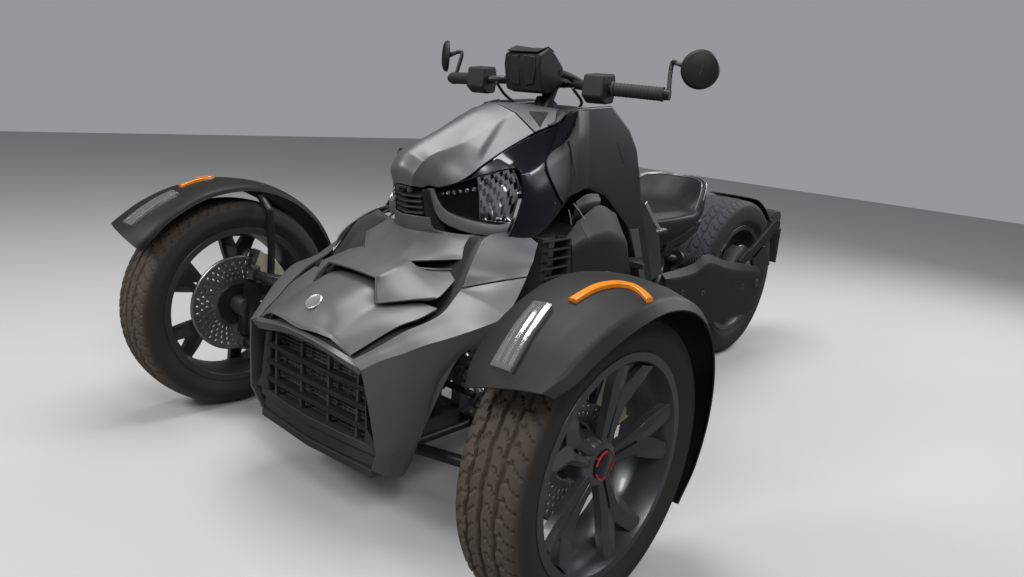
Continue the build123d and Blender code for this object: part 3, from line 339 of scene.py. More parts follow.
    def build(self, name: str, finish: "Finish", thick: float = 0.0, bevel: float = 0.0, body: str = "chassis",
              segments: int = 2, smooth: float = 35.0, side: Side = Side.LEFT, soft: int = 0,
              weld: float = 0.0) -> bpy.types.Object:
        """Make the object, with its wall, rounded edges, finish and body.

        Args:
            name: Object's name.
            finish: Finish that dresses it.
            thick: Wall's thickness in millimetres, grown inwards.
            bevel: Width of the rounded edges in millimetres.
            body: CAD body that it rides on.
            segments: Steps in a rounded edge.
            smooth: Angle in degrees above which an edge stays sharp, on a form without wall or rounding.
            side: Side of the vehicle, where the right mirrors the left.
            soft: Levels of subdivision.
            weld: Distance in millimetres within which points become one, so that grids join.

        Returns:
            The finished object.
        """
        points = np.concatenate(self.points)
        faces = self.faces
        if side is Side.RIGHT:
            points = points * FLIP
            faces = [face[::-1] for face in faces]
        mesh = bpy.data.meshes.new(name)
        mesh.from_pydata(metres(points).tolist(), [], faces)
        mesh.validate()
        if weld:
            joined = bmesh.new()
            joined.from_mesh(mesh)
            bmesh.ops.remove_doubles(joined, verts=joined.verts, dist=weld / 1000.0)
            joined.to_mesh(mesh)
            joined.free()
        mesh.shade_smooth()
        item = bpy.data.objects.new(name, mesh)
        bpy.context.collection.objects.link(item)
        mesh.materials.append(finish.material())
        if thick:
            wall = item.modifiers.new("wall", "SOLIDIFY")
            wall.thickness = thick / 1000.0
            wall.offset = -1.0
            wall.use_even_offset = True
            wall.thickness_clamp = 1.0
        if bevel:
            edge = item.modifiers.new("edge", "BEVEL")
            edge.width = bevel / 1000.0
            edge.segments = segments
            edge.limit_method = "ANGLE"
            edge.angle_limit = math.radians(40.0)
            edge.harden_normals = True
        if soft:
            fine = item.modifiers.new("fine", "SUBSURF")
            fine.levels = fine.render_levels = soft
        mesh.set_sharp_from_angle(angle=math.radians(60.0 if thick or bevel else smooth))
        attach(item, body)
        log.info("%s on %s: %d points", name, body, len(points))
        return item


class Socket:
    """Shader socket or number whose sums and products add Math nodes."""

    def __init__(self, graph: "Graph", link: bpy.types.NodeSocket) -> None:
        """Wrap one output socket of a graph."""
        self.graph = graph
        self.link = link

    def maths(self, operation: str, first: object, second: object) -> "Socket":
        """Math node of two values."""
        return self.graph.node("ShaderNodeMath", {"operation": operation}, {0: first, 1: second})

    def __add__(self, other: object) -> "Socket":
        """Sum."""
        return self.maths("ADD", self, other)

    __radd__ = __add__

    def __mul__(self, other: object) -> "Socket":
        """Product."""
        return self.maths("MULTIPLY", self, other)

    __rmul__ = __mul__

    def __sub__(self, other: object) -> "Socket":
        """Difference."""
        return self.maths("SUBTRACT", self, other)

    def __rsub__(self, other: object) -> "Socket":
        """Difference the other way round."""
        return self.maths("SUBTRACT", other, self)

    def sine(self) -> "Socket":
        """Sine of this in radians."""
        return self.maths("SINE", self, 0.0)

    def smooth_step(self, low: float, high: float) -> "Socket":
        """Smooth step that runs from zero at low to one at high."""
        return self.graph.node(
            "ShaderNodeMapRange", {"interpolation_type": "SMOOTHSTEP"},
            {"Value": self, "From Min": low, "From Max": high, "To Min": 0.0, "To Max": 1.0}, "Result")


class Graph:
    """Node tree of one material."""

    def __init__(self, name: str) -> None:
        """Make the material with an empty tree.

        Args:
            name: Material's name.
        """
        self.material = bpy.data.materials.new(name)
        self.material.use_nodes = True
        self.tree = self.material.node_tree
        self.tree.nodes.clear()

    def node(self, kind: str, settings: dict | None = None, inputs: dict | None = None,
             output: str | int = 0) -> Socket:
        """Add one node.

        Args:
            kind: Node's type.
            settings: Properties, set before the sockets; stops holds a ramp's places and colours.
            inputs: Values or links by socket name or number.
            output: Output socket that is given back.

        Returns:
            The wrapped output.
        """
        made = self.tree.nodes.new(kind)
        for key, value in (settings or {}).items():
            if key == "stops":
                ramp = made.color_ramp
                while len(ramp.elements) < len(value):
                    ramp.elements.new(0.5)
                for element, (place, colour) in zip(ramp.elements, value):
                    element.position = place
                    element.color = (*colour, 1.0) if len(colour) == 3 else colour
            else:
                setattr(made, key, value)
        for key, value in (inputs or {}).items():
            socket = made.inputs[key]
            if isinstance(value, Socket):
                self.tree.links.new(value.link, socket)
            elif isinstance(value, tuple) and len(value) == 3 and socket.type == "RGBA":
                socket.default_value = (*value, 1.0)
            else:
                socket.default_value = value
        return Socket(self, made.outputs[output] if len(made.outputs) else None)

    def place(self) -> Socket:
        """Object coordinates in metres."""
        return self.node("ShaderNodeTexCoord", None, None, "Object")

    def axis(self, name: str, vector: Socket | None = None) -> Socket:
        """One of X, Y and Z of a vector, or of the object's coordinates."""
        return self.node("ShaderNodeSeparateXYZ", None, {0: vector or self.place()}, name)

    def noise(self, scale: float, detail: float = 3.0, rough: float = 0.5,
              vector: Socket | None = None) -> Socket:
        """Noise from about zero to one at so many grains a metre."""
        return self.node("ShaderNodeTexNoise", None, {
            "Vector": vector or self.place(), "Scale": scale, "Detail": detail, "Roughness": rough})

    def cells(self, scale: float, feature: str = "F1") -> Socket:
        """Distance pattern of scattered cells."""
        inputs = {"Vector": self.place(), "Scale": scale}
        return self.node("ShaderNodeTexVoronoi", {"feature": feature}, inputs, "Distance")

    def colours(self, factor: Socket | float, first: Socket | tuple, second: Socket | tuple) -> Socket:
        """Colour between two colours."""
        return self.node("ShaderNodeMix", {"data_type": "RGBA"}, {0: factor, 6: first, 7: second}, 2)

    # Mask of outer edges, which the finishes paint paler.
    def outer_mask(self) -> Socket:
        """One on outer edges and zero elsewhere, from the geometry's pointiness."""
        return self.node("ShaderNodeNewGeometry", None, None, "Pointiness").smooth_step(0.52, 0.604)

    def bump(self, height: Socket, distance: float, strength: float = 1.0) -> Socket:
        """Normal tilted by a height."""
        return self.node("ShaderNodeBump", None, {"Strength": strength, "Distance": distance, "Height": height})

    def finish(self, sockets: dict) -> bpy.types.Material:
        """Close the tree with one principled shader.

        Args:
            sockets: Values or links of the shader's sockets.

        Returns:
            The material.
        """
        shader = self.node("ShaderNodeBsdfPrincipled", None, sockets)
        self.node("ShaderNodeOutputMaterial", None, {"Surface": shader})
        return self.material


@dataclass(frozen=True)
class Finish:
    """Plain painted, moulded or cast finish with its grain and paler outer edges."""

    name: str
    slot: str
    colour: Point
    rough: float
    metal: float = 0.0
    coat: float = 0.0
    grain: float = 900.0
    depth: float = 0.00008
    mottle: float = 0.06
    edge: float = 0.0
    coat_rough: float = 0.08
    specular: float = 0.5

    def material(self) -> bpy.types.Material:
        """The finish's material, made once."""
        found = bpy.data.materials.get(self.name)
        return found if found else self.make(Graph(self.name))

    def tone(self, graph: Graph) -> Socket:
        """Base colour with slow drifts and paler outer edges."""
        drift = graph.noise(7.0, 4.0, 0.6)
        dark = tuple(c * (1.0 - self.mottle) for c in self.colour)
        pale = tuple(min(1.0, c * (1.0 + self.mottle)) for c in self.colour)
        tone = graph.colours(drift, dark, pale)
        if self.edge:
            light = tuple(min(1.0, c * (1.0 + 4.0 * self.edge) + 0.05 * self.edge) for c in self.colour)
            tone = graph.colours(graph.outer_mask() * self.edge, tone, light)
        return tone

    def make(self, graph: Graph) -> bpy.types.Material:
        """Fill the graph with colour, roughness drift and fine grain."""
        grain = graph.noise(self.grain, 2.0, 0.55)
        rough = graph.noise(22.0, 3.0, 0.5) * 0.10 + (self.rough - 0.05)
        return graph.finish({
            "Base Color": self.tone(graph), "Roughness": rough, "Metallic": self.metal, "Coat Weight": self.coat,
            "Coat Roughness": self.coat_rough, "Specular IOR Level": self.specular,
            "Normal": graph.bump(grain, self.depth)})


@dataclass(frozen=True)
class Rubber(Finish):
    """Tread and side rubber with a tinted running face: brown dust on the front tyres, a painted bluish sheen on
    the rear tyre.
    """

    centre: Point = (0.0, 0.0, FRONT_R)
    radius: float = FRONT_R
    dust_and_sheen: Point = (0.105, 0.080, 0.060)

    def make(self, graph: Graph) -> bpy.types.Material:
        """The tint of dust and painted sheen grows with the distance from the wheel's axle."""
        hub = metres(self.centre)
        x = graph.axis("X") - float(hub[0])
        z = graph.axis("Z") - float(hub[2])
        low, high = (((self.radius - depth) / 1000.0) ** 2 for depth in (26.0, 2.0))
        outer_mask = (x * x + z * z).smooth_step(low, high)
        speck = graph.noise(60.0, 5.0, 0.7)
        tone = graph.colours(outer_mask * (speck * 0.9 + 0.25), self.colour, self.dust_and_sheen)
        grain = graph.noise(self.grain, 3.0, 0.6)
        return graph.finish({"Base Color": tone, "Roughness": graph.noise(30.0) * 0.15 + (self.rough - 0.07),
                             "Specular IOR Level": 0.35, "Normal": graph.bump(grain, self.depth)})


@dataclass(frozen=True)
class Lens(Finish):
    """Clear or tinted lens that the lamp's inside shows through."""

    tint: Point = (0.95, 0.96, 0.97)
    see: float = 0.9
    ribs: float = 0.0
    skin: float = 0.6
    bend: float = 1.42

    def make(self, graph: Graph) -> bpy.types.Material:
        """Transmission with a thin coat and faint flow lines."""
        lines = (graph.axis("Z") * self.ribs).sine() if self.ribs else graph.noise(40.0, 2.0)
        return graph.finish({"Base Color": self.tint, "Roughness": self.rough, "Transmission Weight": self.see,
                             "IOR": self.bend, "Coat Weight": self.skin, "Coat Roughness": 0.03,
                             "Normal": graph.bump(lines, 0.0002, 0.4)})


@dataclass(frozen=True)
class Mesh(Finish):
    """Woven or hexagonal mesh printed in relief on a dark panel."""

    cell: float = 260.0

    def make(self, graph: Graph) -> bpy.types.Material:
        """Cells raise the surface, and their holes are darkened with painted shade over the dark panel."""
        hole = graph.cells(self.cell, "DISTANCE_TO_EDGE").smooth_step(0.05, 0.16)
        # Painted shade in the holes: a fifth of the mesh's colour.
        hole_shade = tuple(c * 0.2 for c in self.colour)
        return graph.finish({"Base Color": graph.colours(hole, self.colour, hole_shade), "Roughness": self.rough,
                             "Metallic": self.metal, "Normal": graph.bump(hole * -1.0, 0.0012)})


class Look:
    """Finishes of the whole vehicle."""

    GREY = Finish("body_grey_matte", "body_grey", (0.112, 0.114, 0.119), 0.44, 0.35, 0.15, edge=0.15,
                  coat_rough=0.35)
    BLACK = Finish("body_black_moulded", "body_black", (0.012, 0.012, 0.013), 0.55, edge=0.6, specular=0.3)
    FRAME = Finish("frame_satin_black", "frame_black", (0.015, 0.015, 0.017), 0.42, 0.1, 0.1, edge=0.5,
                   coat_rough=0.3, specular=0.3)
    GLOSS = Finish("gloss_black_panel", "gloss_black", (0.006, 0.007, 0.011), 0.14, 0.0, 0.6, grain=30.0,
                   depth=0.00003, specular=0.35)
    FINS = Finish("radiator_fins", "radiator_alu", (0.30, 0.30, 0.31), 0.45, 0.8, mottle=0.15)
    # Black of lamp insides and the radiator core, also used as painted shade behind the chin slats and in the
    # arch slits.
    DARK_INSIDE_AND_SHADE = Finish("lamp_inside_black", "lamp_housing", (0.008, 0.008, 0.009), 0.5, specular=0.25)
    CHROME = Finish("lamp_reflector", "lamp_housing", (0.86, 0.86, 0.88), 0.10, 1.0, mottle=0.02)
    CLEAR = Lens("lamp_clear_lens", "lamp_lens", (1.0, 1.0, 1.0), 0.02, tint=(0.92, 0.93, 0.95), see=1.0,
                 skin=0.0, bend=1.15)
    # Paler grey painted on the arch leg as a highlight.
    FACET = Finish("arch_leg_facet", "frame_black", (0.060, 0.058, 0.060), 0.45, 0.1)
    FENDER_CLEAR = Lens("fender_clear_lens", "fender_lens", (1.0, 1.0, 1.0), 0.05, ribs=900.0)
    AMBER = Lens("fender_amber_lens", "fender_lens", (1.0, 0.33, 0.03), 0.12, tint=(0.92, 0.29, 0.008), see=0.25,
                 ribs=700.0)
    RED = Lens("tail_red_lens", "red_lens", (0.6, 0.01, 0.01), 0.12, tint=(0.62, 0.012, 0.012), see=0.5,
               ribs=700.0)
    ENGINE = Finish("engine_cast", "engine_metal", (0.060, 0.061, 0.064), 0.5, 0.6, edge=0.7, grain=400.0,
                    depth=0.0002)
    EXHAUST = Finish("exhaust_dark", "exhaust", (0.050, 0.049, 0.050), 0.45, 0.7, mottle=0.2, edge=0.4)
    VINYL = Finish("seat_vinyl_grained", "seat_vinyl", (0.014, 0.014, 0.015), 0.5, grain=700.0, depth=0.0003,
                   specular=0.3)
    STEEL = Finish("steel_black_coated", "steel_black", (0.018, 0.018, 0.019), 0.4, 0.3, edge=0.7)
    ALLOY = Finish("cast_alloy_bare", "cast_alloy", (0.34, 0.34, 0.35), 0.42, 0.85, mottle=0.12, edge=0.4,
                   grain=500.0, depth=0.00015)
    CREAM = Finish("calliper_cast_pale", "cast_alloy", (0.62, 0.57, 0.44), 0.4, 0.5, mottle=0.12)
    RIM = Finish("rim_gunmetal", "rim_grey", (0.105, 0.108, 0.115), 0.32, 0.75, 0.35, mottle=0.08, edge=0.5)
    DISC = Finish("disc_brushed_steel", "disc_steel", (0.46, 0.46, 0.47), 0.30, 0.95, mottle=0.12)
    GRIP = Finish("grip_rubber_fine", "grip_rubber", (0.014, 0.014, 0.014), 0.7)
    # Silver of real trims, also used for the painted highlight lines along the seat's rim.
    SILVER = Finish("silver_trim_line", "cast_alloy", (0.55, 0.56, 0.58), 0.3, 0.8, mottle=0.04)
    RED_RING = Finish("hub_red_ring", "red_lens", (0.45, 0.015, 0.012), 0.35, 0.0, 0.4)
    SCREEN = Finish("gauge_screen", "gloss_black", (0.012, 0.016, 0.018), 0.05, 0.0, 1.0, depth=0.00001)
    GLASS = Finish("mirror_glass", "gloss_black", (0.82, 0.84, 0.86), 0.02, 1.0, depth=0.000002, mottle=0.01)
    MESH = Mesh("speaker_mesh", "body_black", (0.030, 0.030, 0.032), 0.5, 0.3)
    RED_KEY = Finish("switch_red_key", "red_lens", (0.5, 0.02, 0.015), 0.4)


def halves(rows: Sequence[Sequence[Point]]) -> list[list[Point]]:
    """Full-width rows, left to right, from half rows that run from the middle to the left edge."""
    return [[*reversed(row), *[(x, -y, z) for x, y, z in row[1:]]] for row in rows]


def dress(finish: Finish, *names: str) -> None:
    """Put a finish on CAD nodes that stay as they are.

    Args:
        finish: Finish to put on.
        names: Node names.
    """
    made = finish.material()
    for name in names:
        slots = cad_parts[name].data.materials
        if len(slots) == 0:
            slots.append(made)
        for k in range(len(slots)):
            slots[k] = made


@dataclass
class Hood:
    """Hood over the nose: a lower panel, and an upper layer that floats over its rear."""

    creases: tuple = (2, 3, 5, 6)
    slot_lines: tuple = (
        ((66.5, 0, 524), (66.5, 46, 523), (65.5, 84, 521), (77, 100, 495), (85, 112, 473), (61, 137, 479),
         (31, 166, 486), (-2, 200, 493)),
        ((-33, 98, 533), (-70, 129, 532), (-106, 171, 537)),
    )
    emblem: Point = (163.0, 0.0, 460.5)
    emblem_tilt: float = 39.0
    lower_rows: tuple = (
        ((203, 0, 409), (201, 58, 414), (198, 107, 414), (194, 134, 403), (188, 162, 387)),
        ((199, 0, 418), (197, 60, 421), (194, 108, 420), (191, 135, 408), (187, 163, 392)),
        ((162, 0, 459), (160, 56, 458), (152, 109, 441), (146, 146, 433), (134, 180, 422)),
        ((118, 0, 483), (116, 62, 480), (106, 111, 461), (99, 155, 456), (91, 196, 446)),
        ((72, 0, 501), (72, 74, 496), (62, 118, 467), (54, 165, 469), (50, 211, 459)),
        ((36, 0, 506), (36, 80, 498), (22, 138, 472), (12, 180, 477), (8, 218, 475)),
    )
    upper_rows: tuple = (
        ((66, 0, 523), (66, 46, 522), (65, 84, 520), (76, 100, 494), (84, 112, 472)),
        ((43, 0, 529), (43, 46, 528), (42, 84, 525), (52, 112, 500), (60, 137, 478)),
        ((10, 0, 539), (10, 46, 538), (8, 84, 535), (22, 128, 506), (30, 166, 485)),
        ((-12, 0, 546), (-12, 46, 544), (-12, 83, 540), (-10, 134, 516), (-3, 201, 492)),
        ((-33, 0, 553), (-33, 46, 551), (-33, 80, 546), (-42, 128, 524), (-48, 192, 509)),
    )
    tongue_rows: tuple = (
        ((-33, 80, 546), (-42, 128, 524), (-48, 192, 509)),
        ((-34, 90, 538), (-60, 128, 527), (-80, 182, 522)),
        ((-35, 98, 531), (-72, 129, 530), (-108, 173, 535)),
    )
    rear_rows: tuple = (
        ((-33, 0, 553), (-33, 46, 551), (-33, 80, 546), (-70, 126, 553), (-107, 170, 560)),
        ((-70, 0, 577), (-70, 44, 575), (-72, 80, 567), (-94, 130, 570), (-122, 174, 568)),
        ((-100, 0, 605), (-103, 40, 603), (-110, 74, 596), (-126, 122, 591), (-150, 168, 584)),
        ((-106, 0, 612), (-110, 42, 610), (-124, 84, 606), (-146, 128, 605), (-184, 158, 607)),
    )
    bed_rows: tuple = (
        ((190, 0, 396), (186, 110, 392), (174, 166, 372)),
        ((150, 0, 440), (140, 104, 424), (128, 188, 404)),
        ((96, 0, 466), (90, 112, 446), (74, 214, 428)),
        ((20, 0, 498), (10, 120, 462), (-4, 236, 452)),
        ((-50, 0, 530), (-66, 118, 510), (-64, 231, 514)),
        ((-100, 0, 572), (-120, 110, 564), (-112, 214, 586)),
        ((-130, 0, 604), (-150, 110, 598), (-160, 197, 612)),
    )

    def build(self) -> None:
        """Make the hood's layers, the badge place and the dark bed under the slots, which paints the shade seen
        through them.
        """
        lower = Form().net(halves(self.lower_rows), (1,), (2, 6), steps=(6, 5))
        body = lower.build("hood_lower", Look.GREY, WALL, 1.0, smooth=30.0, weld=WELD)
        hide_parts("hood")
        upper = Form().net(halves(self.upper_rows), (4,), self.creases)
        upper.net(halves(self.rear_rows), (), self.creases)
        tongue = Net(self.tongue_rows).surface(6, 6)
        upper.grid(tongue, flip=True).grid(tongue * FLIP)
        upper.build("hood_upper", Look.GREY, WALL, 1.2, smooth=30.0, weld=WELD)
        beads = Form()
        for line in self.slot_lines:
            beads.tube(line, 2.2, 8, 6, tuple(range(1, len(line) - 1)))
        beads.twin().build("hood_slot_beads", Look.GREY)
        # Black sheet under the hood: painted shade seen through the slots.
        Form().net(halves(self.bed_rows), steps=(3, 3)).build("hood_bed", Look.BLACK, THIN)
        badge = Form().spin([(0.1, -2.0), (21.0, -2.0), (21.0, 1.2), (18.5, 2.6), (15.0, 1.6), (0.1, 2.2)],
                            (0.0, 0.0, 0.0), 48, 2, flip=True)
        badge.turn(self.emblem_tilt, "Y", self.emblem)
        badge.build("hood_emblem_place", Look.SILVER, bevel=0.4)


@dataclass
class Nose:
    """Lower front body: both sides, the lip over the mouth, the bar under it and the upper covers."""

    bar: tuple = ((158, 206), (163, 120), (171, 0), (163, -120), (158, -206), (130, -214), (130, -60), (150, 0),
                  (130, 60), (130, 214))
    side_rows: tuple = (
        ((190, 170, 384), (193, 186, 380), (192, 203, 372), (183, 219, 300), (170, 236, 196), (158, 209, 146)),
        ((160, 186, 400), (160, 205, 399), (158, 224, 392), (152, 234, 310), (140, 246, 196), (132, 214, 130)),
        ((128, 197, 416), (128, 222, 414), (127, 247, 406), (120, 252, 310), (108, 252, 205), (106, 217, 121)),
        ((90, 213, 438), (90, 242, 434), (90, 272, 424), (82, 268, 320), (68, 254, 214), (70, 218, 117)),
        ((46, 232, 456), (47, 265, 450), (48, 299, 439), (46, 288, 380), (40, 262, 318), (42, 244, 236)),
        ((10, 240, 474), (2, 283, 468), (-5, 326, 457), (6, 316, 425), (10, 303, 400), (16, 296, 388)),
        ((-46, 228, 508), (-62, 284, 492), (-78, 336, 470), (-64, 330, 440), (-52, 318, 420), (-46, 312, 406)),
    )
    wing_rows: tuple = (
        ((-46, 228, 508), (-62, 284, 492), (-78, 336, 470)),
        ((-48, 228, 510), (-84, 276, 512), (-124, 323, 504)),
        ((-50, 229, 512), (-106, 268, 527), (-168, 308, 540)),
    )
    cover_rows: tuple = (
        ((-53, 229, 515), (-109, 268, 530), (-171, 307, 543)),
        ((-72, 226, 552), (-122, 264, 549), (-190, 298, 557)),
        ((-109, 212, 587), (-150, 252, 575), (-210, 289, 571)),
        ((-155, 195, 613), (-198, 230, 603), (-242, 267, 586)),
        ((-240, 205, 622), (-258, 226, 612), (-272, 248, 596)),
    )
    lip_rows: tuple = (
        ((197, 0, 404), (196, 60, 402), (192, 140, 392), (186, 176, 384)),
        ((207, 0, 400), (206, 60, 398), (197, 150, 382), (190, 201, 373)),
        ((193, 0, 381), (192, 60, 379), (186, 140, 364), (181, 186, 355)),
        ((172, 0, 376), (171, 60, 374), (166, 140, 360), (160, 184, 350)),
    )

    def build(self) -> None:
        """Make the nose panels."""
        side = Form().net(self.side_rows, (), (2, 4), flip=True)
        side.net(self.wing_rows, flip=True)
        body = side.twin().build("nose_sides", Look.GREY, WALL, 1.3, weld=WELD)
        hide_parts("fascia")
        cover = Form().net(self.cover_rows, flip=True)
        cover.twin().build("nose_upper_covers", Look.GREY, WALL, 1.3)
        lip = Form().net(halves(self.lip_rows), (1, 2), steps=(4, 5), flip=True)
        lip.build("nose_lip", Look.GREY, THIN, 1.0)
        bar = Form().prism([(x, y, 127) for x, y in self.bar], (0, 0, 18))
        bar.build("nose_lower_bar", Look.BLACK, bevel=2.0)


@dataclass
class Grille:
    """Bars and posts in the mouth, with the radiator's fins behind them."""

    bar_heights: tuple = (313.0, 272.0, 229.0)
    post_places: tuple = (-150.0, -50.0, 50.0, 150.0)
    half: float = 205.0
    section: tuple = ((0.0, 6.0), (0.0, -5.0), (-20.0, 1.0), (-20.0, 8.0))
    tray: tuple = ((154, 222), (166, 110), (172, 0), (166, -110), (154, -222), (128, -206), (128, 206))
    cheek: tuple = ((164, 182, 345), (166, 196, 237), (160, 228, 199), (158, 180, 199), (152, 176, 345))

    def build(self) -> None:
        """Make the bars, posts, shelf and tray, then the radiator's fins."""
        form = Form()
        for z in self.bar_heights:
            rows = [[(158.0 + 5.0 * math.cos(y / self.half * 1.5) + dx, y, z + dz) for dx, dz in self.section]
                    for y in np.linspace(self.half, -self.half, 13)]
            form.grid(np.asarray(rows), wrap_columns=True, flip=True, caps=True)
        for y in self.post_places:
            form.block((146, y - 3.5, 196), (157, y + 3.5, 352))
        body = form.build("grille_bars", Look.BLACK, bevel=1.0)
        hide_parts("grille")
        shelf = Form().prism([(x, y * 0.97, 178) for x, y in self.tray], (0, 0, 20))
        shelf.prism([(x - 6, y * 0.94, 146) for x, y in self.tray], (0, 0, 28))
        shelf.build("grille_tray", Look.BLACK, bevel=2.5)
        Form().prism(self.cheek, (-26, 0, 0)).twin().build("grille_cheeks", Look.BLACK, bevel=2.0)
        fins = Form()
        for z in np.arange(190.0, 344.0, 9.0):
            fins.block((124, -176, z), (136, 176, z + 1.6))
        for y in np.arange(-170.0, 171.0, 20.0):
            fins.block((120, y - 0.8, 182), (131, y + 0.8, 342))
        fins.block((112, 176, 172), (134, 192, 350)).block((112, -192, 172), (134, -176, 350))
        core = fins.build("radiator_fins", Look.FINS)
        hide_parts("radiator")
        tank = Form().block((106, -178, 176), (121, 178, 346))
        tank.build("radiator_core", Look.DARK_INSIDE_AND_SHADE, bevel=2.0)


@dataclass
class Chin:
    """Slatted front column under the top cover, with its lower plate."""

    slats: tuple = (638.0, 651.0, 664.0, 677.0)
    slat: tuple = ((-92, 0, 0), (-106, 44, 2), (-124, 44, 12), (-112, 0, 12), (-124, -44, 12), (-106, -44, 2))
    cheek: tuple = (
        ((-87, 47, 698), (-97, 55, 698), (-130, 66, 690)),
        ((-98, 52, 640), (-106, 60, 636), (-134, 72, 628)),
        ((-108, 58, 594), (-115, 66, 590), (-140, 84, 588)),
    )
    back: tuple = ((-112, -58, 588), (-100, 0, 586), (-112, 58, 588), (-90, 46, 696), (-84, 0, 697),
                   (-90, -46, 696))
    plate: tuple = (
        ((-84, 0, 636), (-90, 30, 636), (-106, 60, 636)),
        ((-90, 0, 618), (-96, 34, 616), (-112, 66, 612)),
        ((-98, 0, 600), (-104, 38, 600), (-124, 86, 604)),
    )

    def build(self) -> None:
        """Make the slats, the cheeks beside them, the dark back that paints the shade behind the slats, the plate
        and the hinge's lugs.
        """
        form = Form()
        for z in self.slats:
            lean = (z - 580.0) * 0.19
            form.prism([(x + lean, y, z + rise) for x, y, rise in self.slat], (0, 0, 4))
        body = form.build("chin_slats", Look.BLACK, bevel=1.0)
        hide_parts("chin_grille")
        Form().net(self.cheek, steps=(4, 4)).twin().build("chin_cheeks", Look.BLACK, WALL, 1.0)
        # Very dark sheet behind the slats: painted shade.
        Form().prism(self.back, (-16, 0, 0)).build("chin_back", Look.DARK_INSIDE_AND_SHADE, bevel=1.0)
        Form().net(halves(self.plate), steps=(4, 4)).build("chin_plate", Look.GREY, WALL, 1.2)
        for word, low in (("right", -24.5), ("left", 13.5)):
            lug = Form().block((HINGE[0] - 5, low, 689), (HINGE[0] + 3, low + 11.0, 703))
            lug.build("hinge_lug_" + word, Look.STEEL, bevel=0.8)


@dataclass
class Headlights:
    """Pair of slanted headlights with a clear front part, a light bar and a grey bezel."""

    front: tuple = (
        ((-114, 62, 703), (-150, 106, 722), (-190, 150, 743), (-224, 194, 764)),
        ((-119, 72, 682), (-152, 112, 686), (-192, 162, 698), (-230, 212, 718)),
        ((-124, 82, 664), (-156, 122, 648), (-188, 166, 640), (-220, 206, 640)),
    )
    bezel_low: tuple = ((-97, 50, 700), (-110, 60, 664), (-122, 80, 630), (-150, 128, 611), (-186, 178, 608),
                        (-208, 204, 616))
    bezel_high: tuple = ((-110, 60, 702), (-120, 76, 668), (-134, 98, 648), (-164, 142, 636), (-194, 182, 632),
                         (-216, 208, 640))
    clear_from: int = 13

    def build(self) -> None:
        """Make the lenses, the dark inside, the faceted reflector, its outline and the bezel band."""
        face = Net(self.front).surface(8, 8)
        lens = Form().grid(face, flip=True).twin().build("headlight_lens", Look.CLEAR, 2.5, 0.6)
        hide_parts("headlight_lenses")
        back = face + np.array([-26.0, -32.0, -10.0])
        tub = Form().grid(back, flip=True)
        tub.grid(np.stack([border(face) + np.array([-2.5, -2.0, 0.0]), border(back)]), wrap_columns=True)
        body = tub.twin().build("headlight_inside", Look.DARK_INSIDE_AND_SHADE, 1.5)
        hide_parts("headlight_housings")
        bright = face[::2, self.clear_from:] + np.array([-12.0, -14.0, -4.0])
        rows, columns = bright.shape[:2]
        wave = ((np.arange(rows)[:, None] * 2 + np.arange(columns)[None, :]) % 3)[:, :, None]
        bright = bright + wave * np.array([-4.0, -4.5, 2.5])
        Form().grid(bright, flip=True).twin().build("headlight_reflector", Look.CHROME, smooth=2.0)
        clear = face[:, self.clear_from:] + np.array([-4.0, -5.0, -1.0])
        loop = np.concatenate([border(clear), clear[0, :2]])
        line = Form().grid(swept(loop, ring(1.5, 8)), wrap_columns=True, caps=True)
        line.twin().build("headlight_outline", Look.CHROME)
        sparks = Form()
        for j in range(2, self.clear_from, 2):
            centre = face[4, j] * 0.75 + face[6, j] * 0.25 + np.array([-13.0, -15.0, -4.0])
            sparks.grid(lathe([(0.2, -5.0), (3.6, -3.6), (5.4, 2.6)], tuple(centre), 12, 0), wrap_rows=True)
        sparks.twin().build("headlight_small_bowls", Look.CHROME, 0.6)
        low, high = smooth_path(self.bezel_low, 8), smooth_path(self.bezel_high, 8)
        crown = (low + high) / 2.0 + np.array([2.5, 2.0, 1.0])
        inward = np.array([-12.0, -11.0, 2.0])
        band = np.stack([low + inward, low, crown, high, high + inward], axis=1)
        Form().grid(band).twin().build("headlight_bezel", Look.GREY, 2.0, 0.8)


